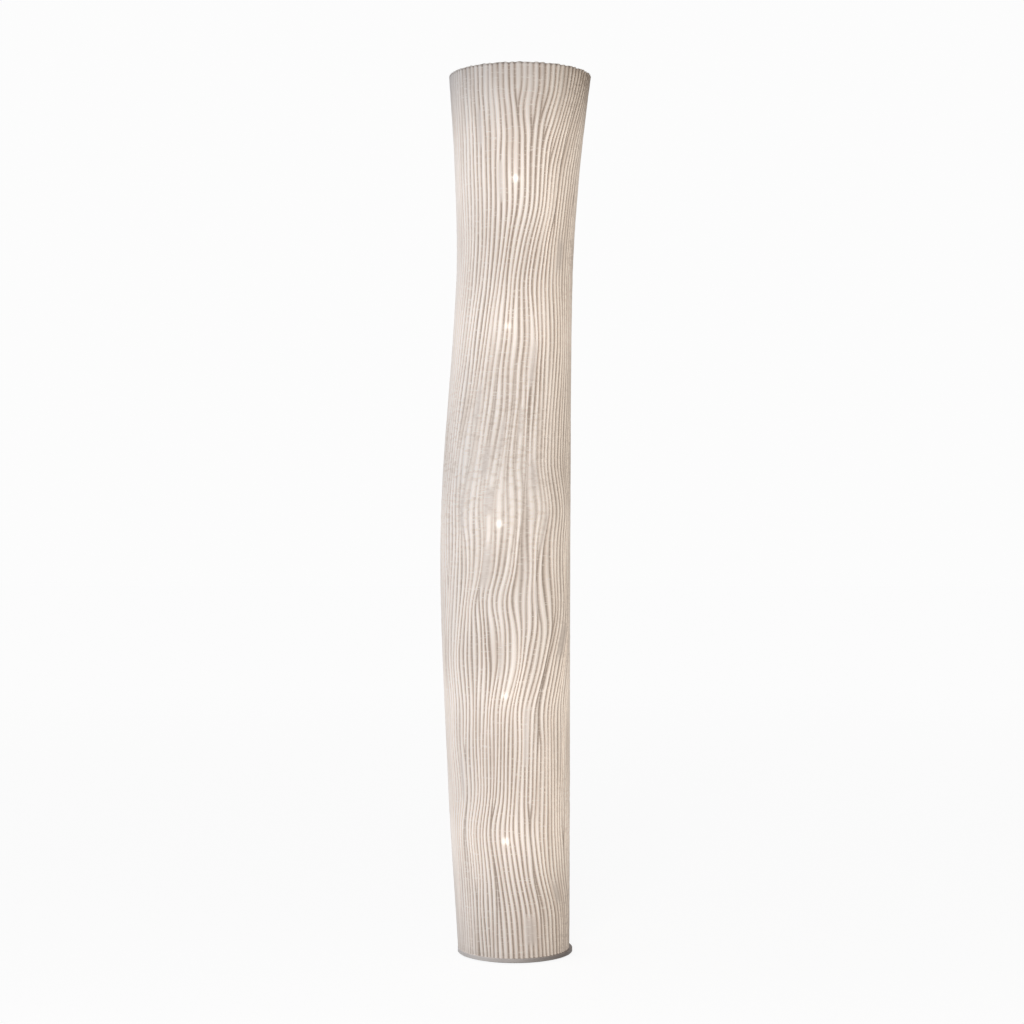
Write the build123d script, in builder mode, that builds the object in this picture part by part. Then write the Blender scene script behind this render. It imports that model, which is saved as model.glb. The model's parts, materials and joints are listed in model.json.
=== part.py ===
from build123d import *
import math
import os

# Floor lamp: a tall pleated fabric shade on a weighted base, lit by five candle bulbs on a mast inside.
# Units are millimetres. The origin is on the floor in the middle of the base, +Z is up and -Y is the front.

# Driving dimensions: fits
FIT = 0.05  # radial clearance of screws, tubes and nipples in their holes
RUN = 0.6  # radial clearance between pieces that move apart
SEAT_GAP = 0.4  # clearance of the wire rings inside the pleats

# Driving dimensions: slots in the heads of all screws
SLOT_WIDTH = 0.8
SLOT_DEPTH = 1.0

# Driving dimensions: base
FELT_RADIUS = 106.0
FELT_THICKNESS = 2.0
PLATE_RADIUS = 114.5
PLATE_THICKNESS = 8.0
PLATE_EDGE = 1.0  # chamfer of the plate's rim
BALLAST_RADIUS = 86.0
BALLAST_THICKNESS = 26.0
BALLAST_EDGE = 2.0
POCKET_RADIUS = 40.0  # wiring pocket in the underside of the ballast
POCKET_DEPTH = 17.0
BALLAST_SCREW_COUNT = 4
BALLAST_SCREW_CIRCLE_RADIUS = 64.0
BALLAST_SCREW_RADIUS = 3.0
BALLAST_SCREW_HEAD_RADIUS = 5.6
BALLAST_SCREW_LENGTH = 20.0

# Driving dimensions: cord inlet under the base
INLET_OFFSET = 22.0  # behind the middle of the base
CHANNEL_WIDTH = 9.0
CHANNEL_DEPTH = 5.0
GROMMET_BORE = 3.5  # radius
GROMMET_WAIST = 5.5  # radius in the plate's hole
GROMMET_FLANGE = 7.6  # radius
GROMMET_FLANGE_THICKNESS = 2.0

# Driving dimensions: terminal block
BLOCK_LENGTH = 22.0
BLOCK_WIDTH = 20.0
BLOCK_HEIGHT = 13.0
BLOCK_OFFSET = 14.0  # from the middle of the base to the block's near face
BLOCK_POLES = 3
BLOCK_POLE_PITCH = 6.0
BLOCK_SCREW_RADIUS = 1.6
BLOCK_SCREW_LENGTH = 6.0

# Driving dimensions: mast and its foot
MAST_RADIUS = 8.0
MAST_WALL = 1.5
FOOT_FLANGE_RADIUS = 32.0
FOOT_FLANGE_THICKNESS = 6.0
FOOT_HUB_RADIUS = 14.0
FOOT_HUB_HEIGHT = 34.0
FOOT_FILLET = 3.0
FOOT_SCREW_COUNT = 3
FOOT_SCREW_CIRCLE_RADIUS = 24.0
FOOT_SCREW_RADIUS = 2.5
FOOT_SCREW_GRIP = 8.0  # thread in the ballast
FOOT_SCREW_HEAD_RADIUS = 4.2
FOOT_SCREW_HEAD_HEIGHT = 5.0
SET_SCREW_RADIUS = 2.5
SET_SCREW_BEARINGS = (60.0, 180.0)
SET_SCREW_DROP = 12.0  # below the top of the hub
LOOM_RADIUS = 4.0
LOOM_BEND = 10.0
LOOM_HOLE_RADIUS = 5.0
PLUG_LENGTH = 24.0
PLUG_SHOULDER = 4.0
STUD_RADIUS = 5.0
STUD_GRIP = 18.0  # inside the plug
STUD_PROUD = 6.0  # above the finial nut
STUD_EDGE = 1.0

# Driving dimensions: shade, as a chain of rises from the base plate to the rim
SHADE_FOOT_RADIUS = 111.5
SHADE_FOOT_LEAN = -2.5  # leans are to the right of the mast
HIP_RISE = 330.0
HIP_RADIUS = 122.0
HIP_LEAN = -12.0
BELLY_RISE = 500.0
BELLY_RADIUS = 130.0
BELLY_LEAN = -19.0
WAIST_RISE = 505.0
WAIST_RADIUS = 116.5
WAIST_LEAN = -1.0
SHOULDER_RISE = 215.0
SHOULDER_RADIUS = 125.0
SHOULDER_LEAN = 4.5
RIM_RISE = 190.0
RIM_RADIUS = 142.0
RIM_LEAN = 10.0
SHADE_WALL = 1.6  # measured along the radius
PLEAT_COUNT = 72
PLEAT_DEPTH = 5.0
PLEAT_WANDER = 3.5  # degrees that a pleat strays to each side
WANDER_LENGTH = 610.0  # height of one stray to and fro
WANDER_LOBES = 2  # strays side by side around the shade
SECTION_COUNT = 13  # levels from the bottom ring to the top ring

# Driving dimensions: wire frame of the shade
WIRE_RADIUS = 2.5
TOP_RING_DROP = 15.0  # below the rim
BOTTOM_RING_RISE = 8.0  # above the base plate
HUB_RADIUS = 13.0
HUB_HEIGHT = 14.0
HUB_DROP = 46.0  # hub's middle below the top ring
ARM_WIRE_RADIUS = 2.2
ARM_WIRE_BEARINGS = (90.0, 210.0, 330.0)
LUG_COUNT = 3
LUG_BEARING = 30.0
LUG_LENGTH = 7.0
LUG_WIDTH = 16.0
LUG_HEIGHT = 14.0
LUG_PLAY = 0.8
LUG_SCREW_RADIUS = 1.5
LUG_SCREW_HEAD_RADIUS = 2.7
LUG_SCREW_HEAD_HEIGHT = 2.4
LUG_SCREW_GRIP = 5.0
NUT_RADIUS = 12.0
NUT_HEIGHT = 12.0
NUT_EDGE = 1.0
NUT_FLUTES = 24
NUT_FLUTE_RADIUS = 0.9

# Driving dimensions: lamps, numbered from the bottom. Bearings are degrees from +X, so -90 faces the front.
GLOW_SHARES = (0.1207, 0.2874, 0.4856, 0.7126, 0.8839)  # of the shade's height
LAMP_BEARINGS = (-114.0, 116.0, -132.0, 108.0, -88.0)
ARM_REACH = 45.0
ARM_WIDTH = 18.0
ARM_THICKNESS = 4.0
ARM_END_RADIUS = 12.0
COLLAR_RADIUS = 14.0
COLLAR_HEIGHT = 16.0
COLLAR_BELOW_ARM = 8.0
COLLAR_SCREW_RADIUS = 2.0
COLLAR_SCREW_PROUD = 1.5
NIPPLE_RADIUS = 5.0
NIPPLE_BORE = 3.0
NIPPLE_BELOW_ARM = 8.0
NIPPLE_SHORT = 2.0  # stops below the top of the holder's floor
LOCKNUT_WIDTH = 14.0  # across the flats
LOCKNUT_HEIGHT = 4.0
HOLDER_FOOT_RADIUS = 10.5
HOLDER_RADIUS = 13.5
HOLDER_COLLAR_RADIUS = 15.0
HOLDER_COLLAR_RISE = 24.0
HOLDER_COLLAR_THICKNESS = 4.0
HOLDER_FLOOR = 8.0
HOLDER_TAPER = 10.0
HOLDER_HEIGHT = 40.0
HOLDER_MOUTH = 7.0  # depth of the wide mouth around the bulb's neck
MOUTH_PLAY = 2.2  # radial clearance of the bulb's skirt in the mouth
CONTACT_RADIUS = 6.5
CONTACT_THICKNESS = 1.2
CONTACT_PIN_RADIUS = 1.5
CONTACT_GAP = 0.3  # between the pin and the bulb's tip
CONTACT_HEIGHT = 4.0  # bulb's tip above the holder's floor
LEAD_RADIUS = 2.5
LEAD_PLAY = 0.2
LEAD_BEND = 16.0
LEAD_DROP = 30.0  # below the arm
LEAD_IN_NIPPLE = 6.0

# Driving dimensions: candle bulb
CAP_RADIUS = 6.9  # thread crests
CAP_ROOT_RADIUS = 6.2
CAP_THREADS = 6
CAP_PITCH = 2.8
CAP_TIP_RADIUS = 2.2
CAP_TIP_HEIGHT = 2.0
CAP_INSULATOR_HEIGHT = 3.4
CAP_SKIRT_RADIUS = 8.6
CAP_SKIRT_HEIGHT = 4.0
CAP_PLAY = 0.6  # radial clearance in the holder
GLASS_WALL = 0.8
GLASS_NECK_RADIUS = 8.2
GLASS_RADIUS = 17.5
GLASS_BELLY = 27.0  # height of the widest place above the cap
GLASS_HEIGHT = 72.0
GLASS_TIP_RADIUS = 1.6
FILAMENT_COUNT = 4
FILAMENT_RADIUS = 0.9
FILAMENT_LENGTH = 34.0
FILAMENT_CIRCLE_RADIUS = 5.0
FILAMENT_DISC_RADIUS = 6.4
FILAMENT_DISC_THICKNESS = 1.2
STEM_RADIUS = 2.4
STEM_HEIGHT = 14.0

# Heights worked out from the driving dimensions
PLATE_BOTTOM = FELT_THICKNESS
PLATE_TOP = PLATE_BOTTOM + PLATE_THICKNESS
BALLAST_TOP = PLATE_TOP + BALLAST_THICKNESS
POCKET_TOP = PLATE_TOP + POCKET_DEPTH
CHANNEL_TOP = PLATE_BOTTOM + CHANNEL_DEPTH
MAST_BOTTOM = BALLAST_TOP + FOOT_FLANGE_THICKNESS
FOOT_TOP = MAST_BOTTOM + FOOT_HUB_HEIGHT
SHADE_HEIGHT = HIP_RISE + BELLY_RISE + WAIST_RISE + SHOULDER_RISE + RIM_RISE
RIM_TOP = PLATE_TOP + SHADE_HEIGHT
TOP_RING_HEIGHT = SHADE_HEIGHT - TOP_RING_DROP
HUB_BOTTOM = PLATE_TOP + TOP_RING_HEIGHT - HUB_DROP - HUB_HEIGHT / 2
HUB_TOP = HUB_BOTTOM + HUB_HEIGHT
MAST_TOP = HUB_BOTTOM - PLUG_SHOULDER
STUD_TOP = HUB_TOP + NUT_HEIGHT + STUD_PROUD
MAST_BORE = MAST_RADIUS - MAST_WALL

# Heights of one lamp, measured from the top of its arm
CAVITY_BOTTOM = HOLDER_FLOOR
BULB_TIP = CAVITY_BOTTOM + CONTACT_HEIGHT
THREAD_BOTTOM = BULB_TIP + CAP_TIP_HEIGHT + CAP_INSULATOR_HEIGHT
THREAD_TOP = THREAD_BOTTOM + CAP_THREADS * CAP_PITCH
CAP_TOP = THREAD_TOP + CAP_SKIRT_HEIGHT
FILAMENT_BOTTOM = CAP_TOP + STEM_HEIGHT
GLOW_ABOVE_ARM = FILAMENT_BOTTOM + FILAMENT_LENGTH / 2
LEAD_HEIGHT = -ARM_THICKNESS - LEAD_DROP
COLLAR_MIDDLE = COLLAR_HEIGHT / 2 - ARM_THICKNESS - COLLAR_BELOW_ARM
COLLAR_SCREW_LENGTH = COLLAR_RADIUS + COLLAR_SCREW_PROUD - MAST_RADIUS - FIT
BELLY = CAP_TOP + GLASS_BELLY
GLASS_TOP = CAP_TOP + GLASS_HEIGHT

LAMPS = range(1, len(GLOW_SHARES) + 1)
ON_BASE = (Align.CENTER, Align.CENTER, Align.MIN)
UNDER_TOP = (Align.CENTER, Align.CENTER, Align.MAX)

os.makedirs("parts", exist_ok=True)


# Shade outline

SHADE_STATIONS = [
    (0.0, SHADE_FOOT_RADIUS, SHADE_FOOT_LEAN),
    (HIP_RISE, HIP_RADIUS, HIP_LEAN),
    (HIP_RISE + BELLY_RISE, BELLY_RADIUS, BELLY_LEAN),
    (HIP_RISE + BELLY_RISE + WAIST_RISE, WAIST_RADIUS, WAIST_LEAN),
    (SHADE_HEIGHT - RIM_RISE, SHOULDER_RADIUS, SHOULDER_LEAN),
    (SHADE_HEIGHT, RIM_RADIUS, RIM_LEAN),
]


def slope_at(index, column):
    """Slope of the outline at a station, from the stations beside it."""
    before = SHADE_STATIONS[max(index - 1, 0)]
    after = SHADE_STATIONS[min(index + 1, len(SHADE_STATIONS) - 1)]
    return (after[column] - before[column]) / (after[0] - before[0])


def outline(height, column):
    """Smooth cubic curve through the stations, at a height above the base plate."""
    index = 0
    while index < len(SHADE_STATIONS) - 2 and height > SHADE_STATIONS[index + 1][0]:
        index += 1
    low = SHADE_STATIONS[index]
    high = SHADE_STATIONS[index + 1]
    rise = high[0] - low[0]
    t = (height - low[0]) / rise
    start = low[column] * (2 * t**3 - 3 * t**2 + 1) + rise * slope_at(index, column) * (t**3 - 2 * t**2 + t)
    end = high[column] * (3 * t**2 - 2 * t**3) + rise * slope_at(index + 1, column) * (t**3 - t**2)
    return start + end


def shade_radius(height):
    """Radius over the pleats' crests."""
    return outline(height, 1)


def shade_lean(height):
    """How far the shade's middle stands to the right of the mast."""
    return outline(height, 2)


def ring_radius(height):
    """Radius of a wire ring's centre line that sits inside the pleats."""
    return shade_radius(height) - PLEAT_DEPTH - SHADE_WALL - SEAT_GAP - WIRE_RADIUS


def wander(angle, height):
    """Degrees by which the pleat at an angle strays at a height."""
    turn = 2 * math.pi * height / WANDER_LENGTH + WANDER_LOBES * math.radians(angle)
    return PLEAT_WANDER * math.sin(turn)


def pleat_corners(height, inset):
    """Crests and valleys of the pleats all round the shade at a height."""
    corners = []
    for fold in range(2 * PLEAT_COUNT):
        angle = 180.0 * fold / PLEAT_COUNT
        turned = math.radians(angle + wander(angle, height))
        depth = PLEAT_DEPTH if fold % 2 else 0.0
        reach = shade_radius(height) - inset - depth
        corners.append((shade_lean(height) + reach * math.cos(turned), reach * math.sin(turned)))
    return corners


def bearing(degrees):
    """Unit vector that points away from the mast at a bearing."""
    return Vector(math.cos(math.radians(degrees)), math.sin(math.radians(degrees)), 0)


def radial_plane(degrees, distance, height):
    """Plane that faces away from the mast, for holes and screws that point at it."""
    outward = bearing(degrees)
    return Plane(origin=outward * distance + Vector(0, 0, height), z_dir=outward)


def section_heights():
    """Levels at which the pleats are drawn: both edges, both wire rings and evenly between the rings."""
    step = (TOP_RING_HEIGHT - BOTTOM_RING_RISE) / (SECTION_COUNT - 1)
    between = [BOTTOM_RING_RISE + step * section for section in range(SECTION_COUNT)]
    return [0.0] + between + [SHADE_HEIGHT]


def pleated_tube(inset):
    """Solid inside the pleated skin, from the base plate to the rim."""
    with BuildPart() as tube:
        for height in section_heights():
            with BuildSketch(Plane.XY.offset(PLATE_TOP + height)):
                with BuildLine():
                    Polyline(*pleat_corners(height, inset), close=True)
                make_face()
        loft()
    return tube.part


def driver_slot(head_radius, align):
    """Screwdriver slot across a screw's head."""
    Box(2 * head_radius, SLOT_WIDTH, SLOT_DEPTH, align=align, mode=Mode.SUBTRACT)


def lamp_bearing(lamp):
    """Direction of a lamp's arm, in degrees from +X."""
    return LAMP_BEARINGS[lamp - 1]


def arm_top(lamp):
    """Height of the top of a lamp's arm."""
    return PLATE_TOP + GLOW_SHARES[lamp - 1] * SHADE_HEIGHT - GLOW_ABOVE_ARM


def lamp_plane(lamp):
    """Level plane on top of a lamp's arm, centred on the bulb, with X pointing away from the mast."""
    outward = bearing(lamp_bearing(lamp))
    return Plane(origin=outward * ARM_REACH + Vector(0, 0, arm_top(lamp)), x_dir=outward, z_dir=(0, 0, 1))


def lamp_upright(lamp):
    """Upright plane through the mast and the bulb, for outlines that are turned about the bulb's axis."""
    level = lamp_plane(lamp)
    return Plane(origin=level.origin, x_dir=level.x_dir, z_dir=-level.y_dir)


def lamp_axis(lamp):
    """Axis of a lamp's bulb."""
    return Axis(lamp_plane(lamp).origin, (0, 0, 1))


def thread_corners():
    """Outline of the bulb cap's thread, as rings from the insulator up to the skirt."""
    corners = [(CAP_ROOT_RADIUS, THREAD_BOTTOM)]
    for turn in range(CAP_THREADS):
        corners.append((CAP_RADIUS, THREAD_BOTTOM + (turn + 0.5) * CAP_PITCH))
        corners.append((CAP_ROOT_RADIUS, THREAD_BOTTOM + (turn + 1) * CAP_PITCH))
    return corners


LUG_CIRCLE_RADIUS = ring_radius(BOTTOM_RING_RISE) - WIRE_RADIUS - LUG_PLAY - LUG_LENGTH / 2
LUG_CENTRE = shade_lean(BOTTOM_RING_RISE)


# Base: felt, plate, ballast and their screws

with BuildPart() as base_felt:
    with BuildSketch():
        Circle(FELT_RADIUS)
        with Locations((0, INLET_OFFSET)):
            Circle(GROMMET_FLANGE + CHANNEL_WIDTH / 2, mode=Mode.SUBTRACT)
        with Locations((0, INLET_OFFSET)):
            Rectangle(CHANNEL_WIDTH, FELT_RADIUS, align=(Align.CENTER, Align.MIN), mode=Mode.SUBTRACT)
    extrude(amount=FELT_THICKNESS)
base_felt.part.label = "base_felt"
export_step(base_felt.part, "parts/base_felt.step")

with BuildPart() as base_plate:
    with BuildSketch(Plane.XY.offset(PLATE_BOTTOM)):
        Circle(PLATE_RADIUS)
    extrude(amount=PLATE_THICKNESS)
    chamfer(base_plate.edges().filter_by(GeomType.CIRCLE), PLATE_EDGE)
    with BuildSketch(Plane.XY.offset(PLATE_BOTTOM)):
        with Locations((0, INLET_OFFSET)):
            Circle(GROMMET_FLANGE + FIT)
            Rectangle(CHANNEL_WIDTH, PLATE_RADIUS, align=(Align.CENTER, Align.MIN))
    extrude(amount=CHANNEL_DEPTH, mode=Mode.SUBTRACT)
    with BuildSketch(Plane.XY.offset(PLATE_BOTTOM)):
        with Locations((0, INLET_OFFSET)):
            Circle(GROMMET_WAIST + FIT)
    extrude(amount=PLATE_THICKNESS, mode=Mode.SUBTRACT)
    with Locations(Plane(origin=(0, 0, PLATE_BOTTOM), z_dir=(0, 0, -1))):
        with PolarLocations(BALLAST_SCREW_CIRCLE_RADIUS, BALLAST_SCREW_COUNT, 45):
            CounterSinkHole(
                BALLAST_SCREW_RADIUS + FIT,
                BALLAST_SCREW_HEAD_RADIUS + FIT,
                depth=PLATE_THICKNESS,
                counter_sink_angle=90,
            )
    with BuildSketch(Plane.XY.offset(PLATE_TOP)):
        with Locations((LUG_CENTRE, 0)):
            with PolarLocations(LUG_CIRCLE_RADIUS, LUG_COUNT, LUG_BEARING):
                Circle(LUG_SCREW_RADIUS + FIT)
    extrude(amount=-LUG_SCREW_GRIP, mode=Mode.SUBTRACT)
base_plate.part.label = "base_plate"
export_step(base_plate.part, "parts/base_plate.step")

with BuildPart() as cord_grommet:
    with BuildSketch(Plane.XZ.offset(-INLET_OFFSET)):
        with BuildLine():
            Polyline(
                (GROMMET_BORE, CHANNEL_TOP - GROMMET_FLANGE_THICKNESS),
                (GROMMET_FLANGE, CHANNEL_TOP - GROMMET_FLANGE_THICKNESS),
                (GROMMET_FLANGE, CHANNEL_TOP),
                (GROMMET_WAIST, CHANNEL_TOP),
                (GROMMET_WAIST, PLATE_TOP),
                (GROMMET_FLANGE, PLATE_TOP),
                (GROMMET_FLANGE, PLATE_TOP + GROMMET_FLANGE_THICKNESS),
                (GROMMET_BORE, PLATE_TOP + GROMMET_FLANGE_THICKNESS),
                close=True,
            )
        make_face()
    revolve(axis=Axis((0, INLET_OFFSET, 0), (0, 0, 1)))
cord_grommet.part.label = "cord_grommet"
export_step(cord_grommet.part, "parts/cord_grommet.step")

with BuildPart() as ballast_disc:
    with BuildSketch(Plane.XY.offset(PLATE_TOP)):
        Circle(BALLAST_RADIUS)
    extrude(amount=BALLAST_THICKNESS)
    chamfer(ballast_disc.edges().group_by(Axis.Z)[-1], BALLAST_EDGE)
    with BuildSketch(Plane.XY.offset(PLATE_TOP)):
        Circle(POCKET_RADIUS)
    extrude(amount=POCKET_DEPTH, mode=Mode.SUBTRACT)
    with BuildSketch(Plane.XY.offset(POCKET_TOP)):
        Circle(LOOM_HOLE_RADIUS)
    extrude(amount=BALLAST_THICKNESS - POCKET_DEPTH, mode=Mode.SUBTRACT)
    with BuildSketch(Plane.XY.offset(PLATE_TOP)):
        with PolarLocations(BALLAST_SCREW_CIRCLE_RADIUS, BALLAST_SCREW_COUNT, 45):
            Circle(BALLAST_SCREW_RADIUS + FIT)
    extrude(amount=BALLAST_SCREW_LENGTH - PLATE_THICKNESS, mode=Mode.SUBTRACT)
    with BuildSketch(Plane.XY.offset(BALLAST_TOP)):
        with PolarLocations(FOOT_SCREW_CIRCLE_RADIUS, FOOT_SCREW_COUNT):
            Circle(FOOT_SCREW_RADIUS + FIT)
    extrude(amount=-FOOT_SCREW_GRIP, mode=Mode.SUBTRACT)
ballast_disc.part.label = "ballast_disc"
export_step(ballast_disc.part, "parts/ballast_disc.step")

with BuildPart() as ballast_screws:
    with Locations((0, 0, PLATE_BOTTOM)):
        with PolarLocations(BALLAST_SCREW_CIRCLE_RADIUS, BALLAST_SCREW_COUNT, 45):
            Cylinder(BALLAST_SCREW_RADIUS, BALLAST_SCREW_LENGTH, align=ON_BASE)
            Cone(
                BALLAST_SCREW_HEAD_RADIUS,
                BALLAST_SCREW_RADIUS,
                BALLAST_SCREW_HEAD_RADIUS - BALLAST_SCREW_RADIUS,
                align=ON_BASE,
            )
            driver_slot(BALLAST_SCREW_HEAD_RADIUS, ON_BASE)
ballast_screws.part.label = "ballast_screws"
export_step(ballast_screws.part, "parts/ballast_screws.step")


# Wiring in the base

with BuildPart() as terminal_block:
    with BuildSketch(Plane.XY.offset(PLATE_TOP)):
        with Locations((-BLOCK_OFFSET - BLOCK_LENGTH / 2, 0)):
            Rectangle(BLOCK_LENGTH, BLOCK_WIDTH)
    extrude(amount=BLOCK_HEIGHT)
    with BuildSketch(Plane.XY.offset(PLATE_TOP + BLOCK_HEIGHT)):
        with Locations((-BLOCK_OFFSET - BLOCK_LENGTH / 2, 0)):
            with GridLocations(0, BLOCK_POLE_PITCH, 1, BLOCK_POLES):
                Circle(BLOCK_SCREW_RADIUS + FIT)
    extrude(amount=-BLOCK_SCREW_LENGTH, mode=Mode.SUBTRACT)
terminal_block.part.label = "terminal_block"
export_step(terminal_block.part, "parts/terminal_block.step")

with BuildPart() as terminal_screws:
    with Locations((-BLOCK_OFFSET - BLOCK_LENGTH / 2, 0, PLATE_TOP + BLOCK_HEIGHT)):
        with GridLocations(0, BLOCK_POLE_PITCH, 1, BLOCK_POLES):
            Cylinder(BLOCK_SCREW_RADIUS, BLOCK_SCREW_LENGTH, align=UNDER_TOP)
            driver_slot(BLOCK_SCREW_RADIUS, UNDER_TOP)
terminal_screws.part.label = "terminal_screws"
export_step(terminal_screws.part, "parts/terminal_screws.step")

with BuildPart() as wiring_loom:
    with BuildLine() as loom_route:
        FilletPolyline(
            (-BLOCK_OFFSET, 0, PLATE_TOP + BLOCK_HEIGHT / 2),
            (0, 0, PLATE_TOP + BLOCK_HEIGHT / 2),
            (0, 0, arm_top(LAMPS[-1]) + LEAD_HEIGHT + 2 * LEAD_RADIUS),
            radius=LOOM_BEND,
        )
    with BuildSketch(Plane(origin=loom_route.line @ 0, z_dir=loom_route.line % 0)):
        Circle(LOOM_RADIUS)
    sweep(path=loom_route.line)
wiring_loom.part.label = "wiring_loom"
export_step(wiring_loom.part, "parts/wiring_loom.step")


# Mast: foot, screws, tube, plug and stud

with BuildPart() as mast_foot:
    with BuildSketch(Plane.XY.offset(BALLAST_TOP)):
        Circle(FOOT_FLANGE_RADIUS)
    extrude(amount=FOOT_FLANGE_THICKNESS)
    with BuildSketch(Plane.XY.offset(MAST_BOTTOM)):
        Circle(FOOT_HUB_RADIUS)
    extrude(amount=FOOT_HUB_HEIGHT)
    root = mast_foot.edges().filter_by_position(Axis.Z, MAST_BOTTOM, MAST_BOTTOM).sort_by(SortBy.RADIUS)[0]
    fillet(root, FOOT_FILLET)
    with BuildSketch(Plane.XY.offset(MAST_BOTTOM)):
        Circle(MAST_RADIUS + FIT)
    extrude(amount=FOOT_HUB_HEIGHT, mode=Mode.SUBTRACT)
    with BuildSketch(Plane.XY.offset(BALLAST_TOP)):
        Circle(LOOM_HOLE_RADIUS)
        with PolarLocations(FOOT_SCREW_CIRCLE_RADIUS, FOOT_SCREW_COUNT):
            Circle(FOOT_SCREW_RADIUS + FIT)
    extrude(amount=FOOT_FLANGE_THICKNESS, mode=Mode.SUBTRACT)
    for degrees in SET_SCREW_BEARINGS:
        with BuildSketch(radial_plane(degrees, MAST_RADIUS, FOOT_TOP - SET_SCREW_DROP)):
            Circle(SET_SCREW_RADIUS + FIT)
        extrude(amount=FOOT_HUB_RADIUS, mode=Mode.SUBTRACT)
mast_foot.part.label = "mast_foot"
export_step(mast_foot.part, "parts/mast_foot.step")

with BuildPart() as mast_foot_screws:
    with Locations((0, 0, MAST_BOTTOM)):
        with PolarLocations(FOOT_SCREW_CIRCLE_RADIUS, FOOT_SCREW_COUNT):
            Cylinder(FOOT_SCREW_HEAD_RADIUS, FOOT_SCREW_HEAD_HEIGHT, align=ON_BASE)
            Cylinder(FOOT_SCREW_RADIUS, FOOT_FLANGE_THICKNESS + FOOT_SCREW_GRIP, align=UNDER_TOP)
    with Locations((0, 0, MAST_BOTTOM + FOOT_SCREW_HEAD_HEIGHT)):
        with PolarLocations(FOOT_SCREW_CIRCLE_RADIUS, FOOT_SCREW_COUNT):
            driver_slot(FOOT_SCREW_HEAD_RADIUS, UNDER_TOP)
mast_foot_screws.part.label = "mast_foot_screws"
export_step(mast_foot_screws.part, "parts/mast_foot_screws.step")

with BuildPart() as mast_set_screws:
    for degrees in SET_SCREW_BEARINGS:
        with Locations(radial_plane(degrees, FOOT_HUB_RADIUS, FOOT_TOP - SET_SCREW_DROP)):
            Cylinder(SET_SCREW_RADIUS, FOOT_HUB_RADIUS - MAST_RADIUS - FIT, align=UNDER_TOP)
            driver_slot(SET_SCREW_RADIUS, UNDER_TOP)
mast_set_screws.part.label = "mast_set_screws"
export_step(mast_set_screws.part, "parts/mast_set_screws.step")

with BuildPart() as mast_tube:
    with BuildSketch(Plane.XY.offset(MAST_BOTTOM)):
        Circle(MAST_RADIUS)
        Circle(MAST_BORE, mode=Mode.SUBTRACT)
    extrude(amount=MAST_TOP - MAST_BOTTOM)
    for lamp in LAMPS:
        with BuildSketch(radial_plane(lamp_bearing(lamp), 0, arm_top(lamp) + LEAD_HEIGHT)):
            Circle(LEAD_RADIUS + LEAD_PLAY)
        extrude(amount=MAST_RADIUS, mode=Mode.SUBTRACT)
mast_tube.part.label = "mast_tube"
export_step(mast_tube.part, "parts/mast_tube.step")

with BuildPart() as mast_plug:
    with BuildSketch(Plane.XY.offset(MAST_TOP - PLUG_LENGTH)):
        Circle(MAST_BORE - FIT)
    extrude(amount=PLUG_LENGTH)
    with BuildSketch(Plane.XY.offset(MAST_TOP)):
        Circle(MAST_RADIUS)
    extrude(amount=PLUG_SHOULDER)
    with BuildSketch(Plane.XY.offset(HUB_BOTTOM)):
        Circle(STUD_RADIUS + FIT)
    extrude(amount=-STUD_GRIP, mode=Mode.SUBTRACT)
mast_plug.part.label = "mast_plug"
export_step(mast_plug.part, "parts/mast_plug.step")

with BuildPart() as mast_stud:
    with BuildSketch(Plane.XY.offset(HUB_BOTTOM - STUD_GRIP)):
        Circle(STUD_RADIUS)
    extrude(amount=STUD_TOP - HUB_BOTTOM + STUD_GRIP)
    chamfer(mast_stud.edges().group_by(Axis.Z)[-1], STUD_EDGE)
mast_stud.part.label = "mast_stud"
export_step(mast_stud.part, "parts/mast_stud.step")


# Lugs that keep the shade in place on the plate

with BuildPart() as shade_lugs:
    with Locations((LUG_CENTRE, 0, PLATE_TOP)):
        with PolarLocations(LUG_CIRCLE_RADIUS, LUG_COUNT, LUG_BEARING):
            Box(LUG_LENGTH, LUG_WIDTH, LUG_HEIGHT, align=ON_BASE)
    with Locations((LUG_CENTRE, 0, PLATE_TOP + LUG_HEIGHT)):
        with PolarLocations(LUG_CIRCLE_RADIUS, LUG_COUNT, LUG_BEARING):
            CounterBoreHole(
                LUG_SCREW_RADIUS + FIT,
                LUG_SCREW_HEAD_RADIUS + FIT,
                LUG_SCREW_HEAD_HEIGHT,
                LUG_HEIGHT,
            )
shade_lugs.part.label = "shade_lugs"
export_step(shade_lugs.part, "parts/shade_lugs.step")

with BuildPart() as lug_screws:
    with Locations((LUG_CENTRE, 0, PLATE_TOP + LUG_HEIGHT)):
        with PolarLocations(LUG_CIRCLE_RADIUS, LUG_COUNT, LUG_BEARING):
            Cylinder(LUG_SCREW_HEAD_RADIUS, LUG_SCREW_HEAD_HEIGHT, align=UNDER_TOP)
            Cylinder(LUG_SCREW_RADIUS, LUG_HEIGHT + LUG_SCREW_GRIP, align=UNDER_TOP)
            driver_slot(LUG_SCREW_HEAD_RADIUS, UNDER_TOP)
lug_screws.part.label = "lug_screws"
export_step(lug_screws.part, "parts/lug_screws.step")


# Lamps: brackets, holders, leads and bulbs

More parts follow.
